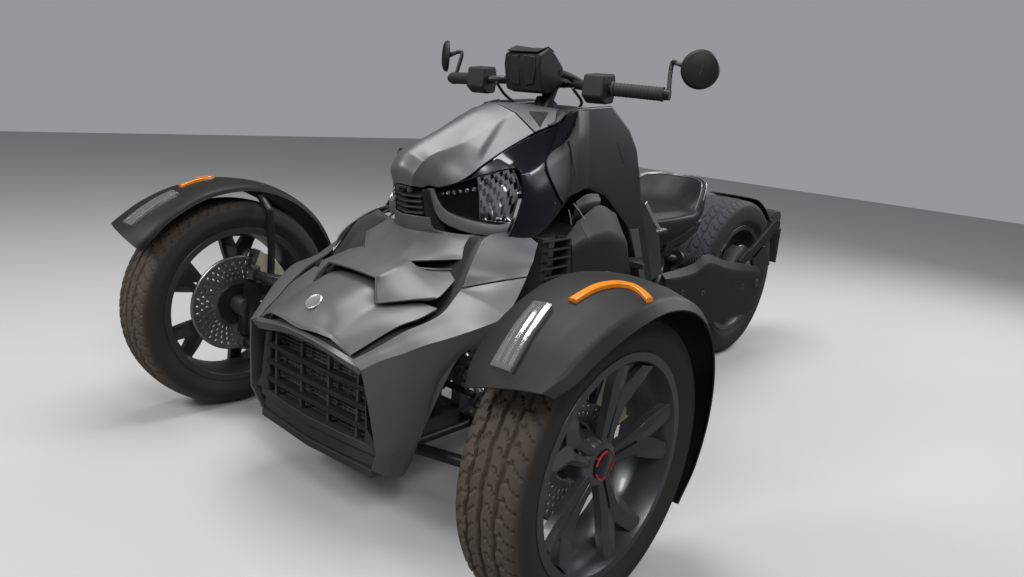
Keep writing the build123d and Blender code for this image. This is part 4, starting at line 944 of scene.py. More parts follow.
@dataclass
class TopCover:
    """Cover that opens over the glove bin, and the fixed deck and spine panel behind it.

    A ridge is its start and end in X and Y, its height, and the widths of its inner and outer slopes.
    """

    lid: tuple = (
        ((-64, 0, 706), (-68, 30, 705), (-90, 49, 703)),
        ((-56, 0, 744), (-66, 40, 733), (-104, 58, 704)),
        ((-74, 0, 776), (-84, 46, 760), (-120, 70, 705)),
        ((-118, 0, 801), (-124, 56, 781), (-144, 95, 718)),
        ((-164, 0, 821), (-167, 60, 797), (-168, 113, 737)),
        ((-224, 0, 848), (-224, 63, 818), (-206, 121, 764)),
        ((-290, 0, 877), (-290, 68, 850), (-268, 129, 799)),
        ((-352, 0, 897), (-352, 73, 880), (-352, 139, 839)),
    )
    deck: tuple = (
        ((-358, 0, 899), (-358, 73, 882), (-358, 139, 841)),
        ((-420, 0, 902), (-420, 80, 891), (-420, 143, 863)),
        ((-468, 0, 903), (-468, 84, 896), (-468, 113, 890)),
        ((-500, 0, 900), (-500, 80, 897), (-500, 112, 893)),
    )
    spine: tuple = ((-472, 893), (-548, 894), (-662, 901), (-744, 842), (-778, 792), (-797, 712), (-806, 646),
                    (-850, 487))
    inset: float = 26.5
    ridges: tuple = (((-196, 104), (-344, 58), 9.0, 46.0, 9.0), ((-84, 52), (-184, 76), 6.0, 34.0, 8.0))

    def ridged(self, grid: Grid) -> Grid:
        """Raise each ridge: a slow slope on the middle's side and a quick fall on the outer side.

        Args:
            grid: The lid's surface.

        Returns:
            The surface, lifted along Z by the ridge's height times its two fading shares.
        """
        out = grid.copy()
        spot = np.stack([grid[..., 0], np.abs(grid[..., 1])], axis=-1)
        for start, end, height, inside, outside in self.ridges:
            run = np.subtract(end, start).astype(float)
            length = float(np.linalg.norm(run))
            along = (spot - start) @ run / length**2
            off = (spot - start) @ np.array([run[1], -run[0]]) / length
            slope = np.where(off < 0.0, np.clip(1.0 + off / inside, 0.0, 1.0),
                             np.clip(1.0 - off / outside, 0.0, 1.0))
            fade = np.clip(along * 7.0, 0.0, 1.0) * np.clip(1.0 - along, 0.0, 1.0)
            out[..., 2] += height * slope * fade
        return out

    def build(self) -> None:
        """Make the lid on its own body, then the deck, its mesh panels and the spine panel."""
        lid = Form().grid(self.ridged(Net(halves(self.lid), (2,), (1, 3)).surface(12, 14)))
        body = lid.build("top_cover_panel", Look.GREY, WALL, 1.2, body="glove_lid")
        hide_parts("top_cover")
        pin = Form()
        for half, radius in ((12.5, 5.0), (24, 2.5)):
            pin.rod((HINGE[0], -half, HINGE[2]), (HINGE[0], half, HINGE[2]), radius)
        pin.build("lid_hinge_pin", Look.STEEL, body="glove_lid")
        deck = Form().net(halves(self.deck), (), (1, 3))
        top = deck.build("deck_panel", Look.GREY, WALL, 1.2)
        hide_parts("spine_cover")
        mesh = Form().prism([(-392, 85, 885), (-378, 136, 851), (-440, 106, 886)], (0.2, 1.0, 1.6))
        mesh.twin().build("deck_mesh", Look.MESH, bevel=0.4)
        spine = [((x, 0, z + 4), (x, (arch_half(z) - self.inset) * 0.6, z + 2), (x, arch_half(z) - self.inset, z))
                 for x, z in self.spine]
        Form().net(halves(spine), (2, 3), steps=(4, 4)).build("spine_panel", Look.BLACK, WALL, 1.0)


@dataclass
class GlossPanel:
    """Gloss black side panel between the headlight and the arch, with its brow and satin cover.

    The satin cover's front and rear edges are places on the gloss panel, in control numbers.
    """

    rows: tuple = (
        ((-224, 130, 774), (-242, 206, 750), (-242, 214, 690), (-196, 216, 606), (-142, 222, 583)),
        ((-262, 135, 796), (-276, 200, 752), (-276, 218, 690), (-250, 226, 622), (-220, 236, 594)),
        ((-330, 142, 826), (-346, 190, 766), (-350, 208, 700), (-330, 220, 640), (-296, 230, 613)),
        ((-410, 152, 856), (-420, 178, 790), (-424, 190, 730), (-408, 200, 680), (-388, 208, 650)),
        ((-500, 152, 896), (-496, 168, 830), (-480, 176, 780), (-452, 186, 720), (-432, 192, 684)),
    )
    brow: tuple = (
        ((-167, 117, 731), (-168, 121, 731)),
        ((-195, 127, 756), (-191, 151, 747)),
        ((-226, 131, 774), (-226, 198, 765)),
        ((-236, 132, 780), (-250, 204, 753)),
    )
    front: tuple = ((3.7, 0.78), (3.0, 0.70), (2.35, 0.75), (2.0, 1.15), (2.45, 2.2), (3.15, 3.3), (3.3, 3.9))
    rear: tuple = ((4.0, 0.0), (4.0, 0.6), (4.0, 1.3), (4.0, 1.8), (4.0, 2.6), (4.0, 3.4), (4.0, 3.95))
    corner: tuple = (
        ((-398, 142, 856), (-420, 144, 864), (-446, 130, 879), (-470, 114, 891), (-502, 113, 894)),
        ((-406, 150, 857), (-432, 152, 867), (-462, 146, 884), (-500, 142, 898), (-530, 141, 904)),
    )
    arch_edge: tuple = ((-560, 898), (-562, 864), (-562, 828), (-562, 796), (-562, 762), (-560, 732), (-556, 706))

    def pick(self, sheet: Grid, steps: int, places: np.ndarray) -> Grid:
        """Points of a dense sheet at fractional row and column numbers.

        Args:
            sheet: The dense surface.
            steps: Dense rows or columns in one span.
            places: Row and column in control numbers, in the last axis.

        Returns:
            Points between the four nearest ones.
        """
        i = np.minimum((places[..., 0] * steps).astype(int), sheet.shape[0] - 2)
        j = np.minimum((places[..., 1] * steps).astype(int), sheet.shape[1] - 2)
        a = (places[..., 0] * steps - i)[..., None]
        b = (places[..., 1] * steps - j)[..., None]
        return (sheet[i, j] * (1 - a) * (1 - b) + sheet[i + 1, j] * a * (1 - b) + sheet[i, j + 1] * (1 - a) * b
                + sheet[i + 1, j + 1] * a * b)

    def build(self) -> None:
        """Make both panels with their brows, and the satin covers that join them to the arch."""
        net = Net(self.rows, (), (1,))
        form = Form().grid(net.surface(6, 6), flip=True).net(self.brow, steps=(4, 4), flip=True)
        body = form.twin().build("gloss_side_panels", Look.GLOSS, WALL, 1.2)
        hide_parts("gloss_panels")
        ahead = smooth_path([(u, v, 0.0) for u, v in self.front], 4)
        behind = smooth_path([(u, v, 0.0) for u, v in self.rear], 4)
        share = np.linspace(0.0, 1.0, 13)[:, None, None]
        places = ahead[None] * (1.0 - share) + behind[None] * share
        cover = self.pick(net.surface(12, 12), 12, places[..., :2]) + np.array([0.0, 4.5, 1.5])
        joint = smooth_path([(x, arch_half(z) + 3.0, z) for x, z in self.arch_edge], 4)
        bridge = Net([cover[-1], cover[-1] * 0.5 + joint * 0.5 + np.array([0.0, 2.0, 0.5]), joint]).surface(4, 1)
        satin = Form().grid(cover, flip=True).grid(bridge, flip=True)
        satin.twin().build("arch_front_covers", Look.FRAME, THIN, 1.0, weld=0.2)
        corner = Form().net(self.corner, steps=(3, 4), flip=True)
        corner.twin().build("deck_corners", Look.FRAME, THIN)


ARCH_LEAN = 0.13
ARCH = ((-470, 896), (-517, 903), (-667, 915), (-757, 853), (-794, 800), (-813, 716), (-822, 650), (-903, 360),
        (-948, 205), (-905, 190), (-845, 370), (-754, 588), (-712, 624), (-639, 681), (-570, 702), (-504, 700),
        (-470, 690))


def arch_half(z: float) -> float:
    """Half width between the arch plates' outer faces at a height, since the plates lean."""
    return 140.0 + (906.0 - z) * ARCH_LEAN


@dataclass
class ArchFrame:
    """Leaning arch plates of the frame with rounded edges, a slit painted as a very dark patch of shade, and a
    facet on the leg painted paler as a highlight.
    """

    wall: float = 28.0
    leg_facet: tuple = ((-760, 582), (-804, 579), (-849, 420), (-852, 352), (-842, 380))
    slit: tuple = ((-694, 818), (-702, 815), (-732, 764), (-724, 763))
    rear_panel: tuple = ((-822, 168, 668), (-846, 170, 651), (-930, 184, 545), (-950, 198, 432), (-880, 196, 417),
                         (-850, 178, 540))

    def plate(self, outline: tuple, out: float) -> list[Point]:
        """Points of an outline on the leaning plane, so far outside the arch plates."""
        return [(x, arch_half(z) + out, z) for x, z in outline]

    def build(self) -> None:
        """Make the covers that wrap the arch plates, then what lies on and behind them."""
        form = Form().prism(self.plate(ARCH, 1.0), (0.0, -self.wall, -self.wall * ARCH_LEAN))
        form.twin().build("arch_covers", Look.FRAME, bevel=5.0, segments=3)
        # The leg patch is a painted highlight and the slit patch is painted shade.
        for name, finish, outline in (("arch_leg_facets", Look.FACET, self.leg_facet),
                                      ("arch_slits", Look.DARK_INSIDE_AND_SHADE, self.slit)):
            patch = Form().prism(self.plate(outline, 1.6), (0.0, -3.0, 0.0))
            patch.twin().build(name, finish, bevel=0.4)
        panel = Form().prism(self.rear_panel, (0.0, -6.0, 0.0))
        panel.twin().build("arch_rear_panels", Look.BLACK, bevel=2.0)


@dataclass
class SidePods:
    """Side pods with louvred fronts, an inner form and thin silver lines."""

    rows: tuple = (
        ((-453, 222, 632), (-470, 248, 590), (-500, 248, 470), (-520, 236, 380), (-540, 214, 280)),
        ((-560, 206, 664), (-580, 240, 590), (-605, 244, 470), (-625, 238, 380), (-640, 218, 260)),
        ((-640, 205, 640), (-680, 230, 560), (-708, 238, 450), (-722, 235, 360), (-745, 218, 255)),
        ((-655, 200, 636), (-705, 208, 556), (-738, 204, 450), (-765, 216, 360), (-790, 207, 255)),
    )
    front: tuple = (
        ((-395, 236, 598), (-400, 252, 580), (-420, 252, 470), (-440, 236, 380), (-460, 212, 300)),
        ((-453, 222, 632), (-470, 248, 590), (-500, 248, 470), (-520, 236, 380), (-540, 214, 280)),
    )
    louvres: int = 6
    inner: tuple = (
        ((-440, 210, 628), (-452, 214, 660), (-466, 202, 678)),
        ((-500, 208, 640), (-512, 211, 672), (-524, 192, 692)),
        ((-560, 204, 650), (-572, 203, 674), (-582, 186, 690)),
    )
    lines: tuple = (((-411, 222, 662), (-419, 224, 644), (-425, 224, 626)),
                    ((-429, 222, 677), (-452, 225, 657), (-475, 225, 637)))

    def build(self) -> None:
        """Make the pod panels, louvres and trims."""
        form = Form().net(self.rows, (2,), (1,), flip=True)
        form.net(self.front, (), (1,), flip=True)
        body = form.twin().build("side_pod_panels", Look.BLACK, WALL, 1.5)
        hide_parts("side_pods")
        vents = Form()
        for z in np.linspace(478.0, 590.0, self.louvres):
            vents.prism([(-302, 236, z - 3), (-310, 247, z + 3), (-398, 249, z + 5), (-398, 214, z - 4),
                         (-330, 204, z - 6)], (0, 0, 5.0))
        vents.block((-404, 200, 470), (-396, 248, 598)).block((-330, 196, 470), (-306, 236, 600))
        vents.twin().build("side_pod_louvres", Look.BLACK, bevel=1.0)
        Form().net(self.inner, steps=(5, 5)).twin().build("side_pod_inner", Look.BLACK, THIN, 1.0)
        lines = Form()
        for line in self.lines:
            lines.tube(line, 1.6, 8)
        lines.twin().build("side_pod_lines", Look.SILVER)


@dataclass
class Seat:
    """Seat: base, vinyl cushion with a raised rear rim, and a silver strip."""

    half: tuple = ((-862, 94), (-900, 114), (-935, 126), (-1000, 144), (-1080, 155), (-1150, 159), (-1210, 159),
                   (-1244, 154), (-1274, 142), (-1304, 122), (-1332, 92), (-1350, 62), (-1360, 30), (-1362, 0))
    top: tuple = ((-1362, 700), (-1340, 700), (-1304, 692), (-1274, 676), (-1250, 655), (-1232, 632),
                  (-1212, 606), (-1190, 596), (-1004, 584), (-935, 586), (-862, 594))
    low: tuple = ((-1362, 604), (-1274, 580), (-1178, 552), (-1069, 528), (-1004, 520), (-960, 536), (-935, 554),
                  (-862, 572))
    lip: tuple = ((-1362, 650), (-1320, 646), (-1274, 626), (-1240, 612), (-1200, 606), (-862, 602))
    middle: Point = (-1090.0, 0.0, 0.0)
    floor: tuple = ((-1362, 609), (-862, 603))
    pan: tuple = ((-1362, 606), (-862, 604))
    strip: tuple = ((-863, 163, 648), (-905, 167, 605), (-957, 166, 563))
    under: tuple = ((-950, 566), (-985, 520), (-1010, 478), (-1100, 470), (-1220, 486), (-1300, 520),
                    (-1330, 566), (-1260, 562), (-1150, 540), (-1040, 520))
    under_half: float = 118.0

    def level(self, outline: np.ndarray, along: float, across: float, table: tuple,
              add: float = 0.0) -> np.ndarray:
        """Ring of the outline, drawn in towards the middle, at the heights that a table gives.

        Args:
            outline: Points round the seat.
            along: Share of the length that is kept.
            across: Share of the width that is kept.
            table: Pairs of X and height.
            add: Height added all round.

        Returns:
            The ring's points.
        """
        middle = np.asarray(self.middle)
        ring_points = middle + (outline - middle) * np.array([along, across, 1.0])
        xs, heights = np.asarray(table, dtype=float).T
        order = np.argsort(xs)
        ring_points[:, 2] = np.interp(outline[:, 0], xs[order], heights[order]) + add
        return ring_points

    def build(self) -> None:
        """Make the cushion with its rim, the bright lines that paint the rim's highlights, the pan, the strips
        and the body below.
        """
        left = smooth_path([(x, y, 0.0) for x, y in self.half], 4)
        outline = np.concatenate([left, (left * FLIP)[-2::-1]])
        base = self.level(outline, 0.965, 0.95, self.low, 3.0)
        side = self.level(outline, 1.0, 1.0, self.low, 22.0)
        crest = self.level(outline, 0.992, 0.985, self.top, -7.0)
        rim = self.level(outline, 0.965, 0.955, self.top)
        inner = self.level(outline, 0.925, 0.90, self.top, -4.0)
        lip = self.level(outline, 0.79, 0.76, self.lip)
        floor = self.level(outline, 0.60, 0.56, self.floor)
        pan = self.level(outline, 0.30, 0.26, self.pan)
        form = Form().grid(np.stack([base, side, crest, rim, inner, lip, floor, pan]), caps=True)
        body = form.build("seat_cushion_vinyl", Look.VINYL, soft=2)
        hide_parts("seat_cushion")
        # Silver lines along the rim's crest and inner edge are painted highlights, not trim.
        edge = self.level(outline, 0.984, 0.975, self.top, -1.5)
        bright = Form()
        for line, end, radius in ((edge, -1228.0, 1.5), (inner, -1200.0, 1.3)):
            bright.grid(swept(line[line[:, 0] < end], ring(radius, 8)), wrap_columns=True, caps=True)
        bright.build("seat_edge_line", Look.SILVER)
        under = self.level(outline, 0.90, 0.86, self.low, -24.0)
        pan_grid = np.stack([under, base + np.array([0.0, 0.0, 2.0])])
        Form().grid(pan_grid, caps=True).build("seat_pan", Look.BLACK, bevel=2.0)
        path = smooth_path(self.strip, 8)
        flat = np.array([(-6.0, 1.4), (6.0, 1.4), (6.0, -1.4), (-6.0, -1.4)])
        strip = Form().grid(swept(path, flat, 1.0, (0.0, 1.0, 0.0)), wrap_columns=True, caps=True)
        strip.twin().build("seat_strips", Look.SILVER, bevel=0.5)
        low = Form().prism([(x, self.under_half, z) for x, z in self.under], (0, -2.0 * self.under_half, 0))
        low.build("seat_under_body", Look.BLACK, bevel=14.0, segments=4)


@dataclass
class HandleBar:
    """Bar, grips, switch housings, gauge pod and mirrors, all on the steered body."""

    body: str = "steering_bars"
    bar: tuple = ((-572, 70, 962), (-520, 140, 958), (-512, 200, 956), (-526, 255, 955), (-561, 359, 953))
    mirror: Point = (-592.0, 427.0, 1016.0)
    mirror_turn: float = 38.0
    cables: tuple = (
        (((-506, 82, 985), (-548, 84, 978), (-592, 88, 966)), 9.0, 14),
        (((-506, 104, 965), (-545, 110, 955), (-560, 146, 952)), 4.0, 10),
        (((-500, 130, 950), (-540, 132, 920), (-560, 110, 900)), 4.0, 10),
    )

    def build(self) -> None:
        """Make each piece of the bar."""
        Form().tube(self.bar, 10.8, 16, 8).twin().build("handlebar_tube", Look.STEEL, body=self.body)
        grip = Form()
        path = smooth_path([(-519, 236, 955.4), (-540, 297, 954.4), (-560, 356, 953.1)], 40)
        rib = 16.0 + 0.6 * (np.sin(np.arange(len(path)) * 1.15) > 0.0)
        rib[:4], rib[-4:] = 19.0, 17.5
        grip.grid(swept(path, ring(1.0, 24), rib), wrap_columns=True, caps=True)
        sleeve = grip.twin().build("grip_sleeves", Look.GRIP, body=self.body)
        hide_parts("grips")
        weight = Form().rod((-560, 355, 953.1), (-565, 371, 952.6), 14.0, 12.0)
        weight.twin().build("bar_end_weights", Look.STEEL, body=self.body, bevel=1.5)
        house = Form().prism([(-488, 168, 986), (-484, 168, 934), (-508, 168, 917), (-540, 168, 922),
                              (-547, 168, 960), (-536, 168, 992)], (0, 62, 0))
        body = house.twin().build("switch_shells", Look.BLACK, body=self.body, bevel=5.0, segments=3)
        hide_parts("switch_housings")
        keys = Form().block((-549, 184, 962), (-541, 200, 974)).block((-551, 206, 958), (-541, 218, 970))
        keys.block((-548, 190, 936), (-541, 214, 946))
        keys.twin().build("switch_keys", Look.GRIP, body=self.body, bevel=1.2)
        stop = Form().block((-552, -214, 974), (-540, -200, 986))
        stop.build("switch_red_key", Look.RED_KEY, body=self.body, bevel=1.5)
        self.gauge()
        self.mirrors()

    def gauge(self) -> None:
        """Make the gauge pod with its visor and screen."""
        side = [(-461, 936), (-445, 998), (-447, 1024), (-482, 1043), (-505, 1034), (-546, 1000), (-548, 976),
                (-548, 950), (-491, 930)]
        base = np.asarray([(x, 0.0, z) for x, z in side], dtype=float)
        middle = np.array([-500.0, 0.0, 984.0])
        places = ((60.0, 0.86), (60.0, 0.93), (54.0, 1.0), (0.0, 1.0))
        half = np.stack([middle + (base - middle) * scale + np.array([0.0, y, 0.0]) for y, scale in places])
        whole = np.concatenate([half, (half * FLIP)[-2::-1]])
        form = Form().grid(whole, wrap_columns=True, caps=True)
        body = form.build("gauge_shell", Look.BLACK, body=self.body, bevel=2.0, segments=3)
        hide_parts("gauge_pod")
        panels = Form()
        panels.prism([(-458, 9, 947), (-456, 38, 952), (-447, 49, 988), (-446, 45, 1018), (-446, 9, 1021)],
                     (4.5, 0.0, 0.8))
        panels.twin().build("gauge_front_panels", Look.FRAME, body=self.body, bevel=2.2, segments=3)
        visor = Form().prism([(-445, -50, 1029), (-445, 50, 1029), (-484, 53, 1045), (-513, 51, 1035),
                              (-513, -51, 1035), (-484, -53, 1045)], (0.6, 0.0, 3.4))
        visor.build("gauge_visor", Look.BLACK, body=self.body, bevel=1.4, segments=3)
        screen = Form().prism([(-510, -49, 1031), (-510, 49, 1031), (-543, 49, 1004), (-543, -49, 1004)],
                              (-1.8, 0, 2.2))
        screen.build("gauge_screen", Look.SCREEN, body=self.body, bevel=1.0)
        tubes = Form()
        for line, radius, count in self.cables:
            tubes.tube(line, radius, count)
        tubes.twin().build("bar_cables", Look.GRIP, body=self.body)

    def mirrors(self) -> None:
        """Make the round mirrors and their stalks."""
        shell = Form().spin([(0.1, 12.7), (9.0, 12.6), (16.0, 12.2), (30.0, 10.6), (41.0, 6.6), (45.5, 0.0),
                             (45.5, -5.0), (42.5, -6.5), (41.5, -3.5), (0.1, -3.5)], (0.0, 0.0, 0.0), 56, 0)
        glass = Form().spin([(0.1, -3.0), (41.5, -3.0), (41.5, -4.8), (0.1, -4.8)], (0.0, 0.0, 0.0), 56, 0)
        for form in (shell, glass):
            form.turn(self.mirror_turn, "Z", self.mirror)
        body = shell.twin().build("mirror_shells", Look.BLACK, body=self.body)
        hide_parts("mirrors")
        glass.twin().build("mirror_glass", Look.GLASS, body=self.body)
        stalk = Form().tube([(-563.4, 366, 953), (-572, 362, 962), (-583, 354, 1012), (-585, 356, 1029),
                             (-577, 370, 1027)], 5.5, 12)
        stalk.rod((-578.5, 367, 1027.5), (-583, 410, 1018), 4.6, 8.6)
        stalk.twin().build("mirror_stalks", Look.STEEL, body=self.body)


@dataclass
class Fender:
    """Front fender with its lamps, carried by one knuckle."""

    side: Side = Side.LEFT
    rings: tuple = (
        (33, -62, 106, 4, 6, 30), (40, -76, 118, 5, 5, 16), (52, -82, 123, 5, 3, 6), (70, -83, 126.5, 2, 0, 0),
        (88, -83, 126.5, 0, 0, 0), (106, -82, 122, -1, 0, 0), (124, -78, 113, -2, 0, 0),
        (142, -72, 102, -3, 0, 0), (160, -64, 92, -4, 0, 0), (178, -54, 84, -6, 0, 0), (196, -38, 78, -10, 0, 0),
        (212, -18, 72, -16, 0, 0),
    )
    section: tuple = ((0.0, 32), (0.06, 46), (0.35, 55), (0.68, 51), (0.92, 38), (1.0, 20))
    lamp: tuple = ((40.5, -14, 28), (46, -18, 24), (52, -23, 18), (57, -27, 13), (63, -32, 6))
    amber: tuple = (
        (68.0, 15, 68.0, 29), (73.6, 17, 73.4, 31), (79.8, 21, 78.2, 35), (85.6, 36, 82.6, 45),
        (87.2, 57, 84.8, 59), (87.7, 74, 85.3, 74), (86.7, 93, 84.3, 91), (85.2, 107, 82.8, 105),
    )
    front: float = 292.7

    @property
    def word(self) -> str:
        """Name's ending."""
        return self.side.name.lower()

    def reach(self, angle: np.ndarray, height: np.ndarray) -> np.ndarray:
        """Distance from the axle, held back so that the nose stays behind the tyre's front."""
        ahead = np.cos(np.radians(angle))
        flat = self.front / np.maximum(ahead, 0.5)
        return np.where(ahead > 0.5, np.minimum(FRONT_R + height, flat), FRONT_R + height)

    def surface(self, lift: float = 0.0) -> Grid:
        """Fender's skin: each ring's section turned about the wheel's axle.

        A ring's angle grows by its turn, and its height by its lift, with the share of the way
        from the inner to the outer edge.
        """
        rings = np.asarray(self.rings, dtype=float)[:, :, None]
        shares = np.asarray(self.section, dtype=float)
        share = shares[None, :, 0]
        angle = rings[:, 0] + rings[:, 4] * share
        r = self.reach(angle, shares[None, :, 1] + rings[:, 3] + rings[:, 5] * share + lift)
        y = TRACK + rings[:, 1] + (rings[:, 2] - rings[:, 1]) * share
        a = np.radians(angle)
        return Net(np.stack([r * np.cos(a), y, FRONT_R + r * np.sin(a)], axis=-1), (), (3, 4)).surface(6, 6)

    def point(self, angle: float, y: float, lift: float) -> Point:
        """Point over the fender at an angle and a place across it.

        The ring and the share of the way across depend on each other, so they are found by a
        few rounds from the untwisted ring.
        """
        rings = np.asarray(self.rings, dtype=float)
        shares = np.asarray(self.section, dtype=float)
        at, share = angle, 0.5
        for _ in range(5):
            row = [float(np.interp(at, rings[:, 0], rings[:, k])) for k in range(1, 6)]
            inner, outer, shift, turn, rise = row
            share = (y - inner) / (outer - inner)
            at = angle - turn * share
        over = float(np.interp(share, shares[:, 0], shares[:, 1])) + shift + rise * share + lift
        r = float(self.reach(np.array(angle), np.array(over)))
        a = math.radians(angle)
        return (r * math.cos(a), TRACK + y, FRONT_R + r * math.sin(a))

    def strip(self, line: Sequence[tuple[float, float]], half: float, low: float, high: float) -> Grid:
        """Closed band along a line of angle and place, between two lifts."""
        dense = smooth_path([(a, y, 0.0) for a, y in line], 8)
        rows = [[self.point(a, y - half, low), self.point(a, y - half, high), self.point(a, y + half, high),
                 self.point(a, y + half, low)] for a, y, _ in dense]
        return np.asarray(rows)

    def build(self) -> None:
        """Make the skin, lamp, light bars, amber strip and stay."""
        knuckle = "knuckle_l" if self.side is Side.LEFT else "knuckle_r"
        skin = Form().grid(self.surface(), flip=True)
        skin = skin.build("fender_skin_" + self.word, Look.BLACK, WALL, 1.2, body=knuckle, side=self.side)
        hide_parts("fender_" + self.word)
        rows = []
        for a, y0, y1 in self.lamp:
            rows.append([self.point(a, y, 9.0) for y in np.linspace(y0, y1, 4)])
        face = Net(rows).surface(6, 4)
        rim = border(face)
        centre = np.array([0.0, TRACK, FRONT_R])
        lens = Form().grid(face, flip=True)
        lens.grid(np.stack([rim, centre + (rim - centre) * 0.972]), wrap_columns=True)
        glass = lens.build("fender_lens_" + self.word, Look.FENDER_CLEAR, body=knuckle, side=self.side)
        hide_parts("fender_lamps_" + self.word)
        under = centre + (face - centre) * 0.9745
        bed = Form().grid(under, flip=True)
        bed.build("fender_lamp_bed_" + self.word, Look.DARK_INSIDE_AND_SHADE, 1.0, body=knuckle, side=self.side)
        bars = Form()
        for share in (0.18, 0.5, 0.82):
            line = [(a, y0 + (y1 - y0) * share) for a, y0, y1 in self.lamp]
            line[0] = (line[0][0] + 1.5, line[0][1])
            line[-1] = (line[-1][0] - 1.2, line[-1][1])
            bars.grid(self.strip(line, 3.4, 1.0, 5.5), wrap_columns=True, caps=True)
        bars.build("fender_light_bars_" + self.word, Look.CHROME, body=knuckle, side=self.side)
        dense = span_weights(len(self.amber), 6) @ np.asarray(self.amber, dtype=float)
        band = [[self.point(rear, place, -1.0), self.point(rear, place, 7.0), self.point(ahead, other, 7.0),
                 self.point(ahead, other, -1.0)] for rear, place, ahead, other in dense]
        amber = Form().grid(np.asarray(band), wrap_columns=True, caps=True)
        amber.build("fender_amber_" + self.word, Look.AMBER, body=knuckle, bevel=1.2, side=self.side)
        saddle = Form().block((-74, TRACK - 54, 603), (-30, TRACK - 8, 624))
        saddle.build("fender_saddle_" + self.word, Look.STEEL, body=knuckle, bevel=2.0, side=self.side)


@dataclass
class Tyre:
    """Tyre with circumferential grooves, side sipes and a rounded shoulder."""

    name: str
    body: str
    centre: Point
    radius: float
    width: float
    rim: float
    bead: float
    grooves: tuple = (-0.42, 0.0, 0.42)
    sipes: int = 60
    around: int = 360
    dust_and_sheen: Point = (0.088, 0.066, 0.050)

    def build(self) -> None:
        """Make the tyre as a turned section whose tread is cut where a groove or sipe runs."""
        half, r = self.width / 2.0, self.radius
        side = smooth_path([(self.rim + 0.3, -self.bead + 2, 0), (self.rim + 10, -self.bead - 3, 0),
                            (self.rim + 26, -half, 0), (r - 30, -half + 1.5, 0), (r - 14, -half + 8, 0),
                            (r - 5, -half + 20, 0)], 5)[:, :2]
        places = np.linspace(-half + 24, half - 24, 45)
        crown = np.stack([r - 4.0 * (places / (half - 24)) ** 2, places], axis=1)
        other = side[::-1] * np.array([1.0, -1.0])
        inside = np.array([(self.rim - 9, self.bead - 8), (r - 16, half - 26), (r - 16, -half + 26),
                           (self.rim - 9, -self.bead + 8)])
        profile = np.concatenate([side, crown, other, inside])
        grid = lathe([tuple(p) for p in profile], (0.0, 0.0, 0.0), self.around)
        angle = np.linspace(0.0, 2.0 * math.pi, self.around, endpoint=False)[:, None]
        y = profile[None, :, 1] / half
        tread = profile[None, :, 0] > r - 13.0
        depth = np.zeros((self.around, len(profile)))
        for place in self.grooves:
            wave = place + 0.02 * np.sign(np.sin(angle * self.sipes / 2))
            depth = np.maximum(depth, 6.0 * (np.abs(y - wave) < 0.055))
        zigzag = np.abs((np.abs(y) * 5.0) % 2.0 - 1.0)
        lean = angle * self.sipes + 7.0 * np.abs(y) + 2.4 * zigzag + 1.5 * np.sign(y)
        cut = (np.cos(lean) > 0.80) & (np.abs(y) > 0.14)
        depth = np.maximum(depth, 4.0 * cut) * tread
        scale = 1.0 - depth / np.maximum(profile[None, :, 0], 1.0)
        grid[:, :, 0] *= scale
        grid[:, :, 2] *= scale
        grid = grid + np.asarray(self.centre)
        rubber = Rubber("tyre_rubber_" + self.name, "tyre", (0.022, 0.021, 0.021), 0.72, grain=350.0,
                        depth=0.0002, centre=self.centre, radius=self.radius, dust_and_sheen=self.dust_and_sheen)
        form = Form().grid(grid, wrap_rows=True, wrap_columns=True, flip=True)
        body = form.build("tyre_tread_" + self.name, rubber, body=self.body, smooth=28.0)
        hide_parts("tyre_" + self.name)


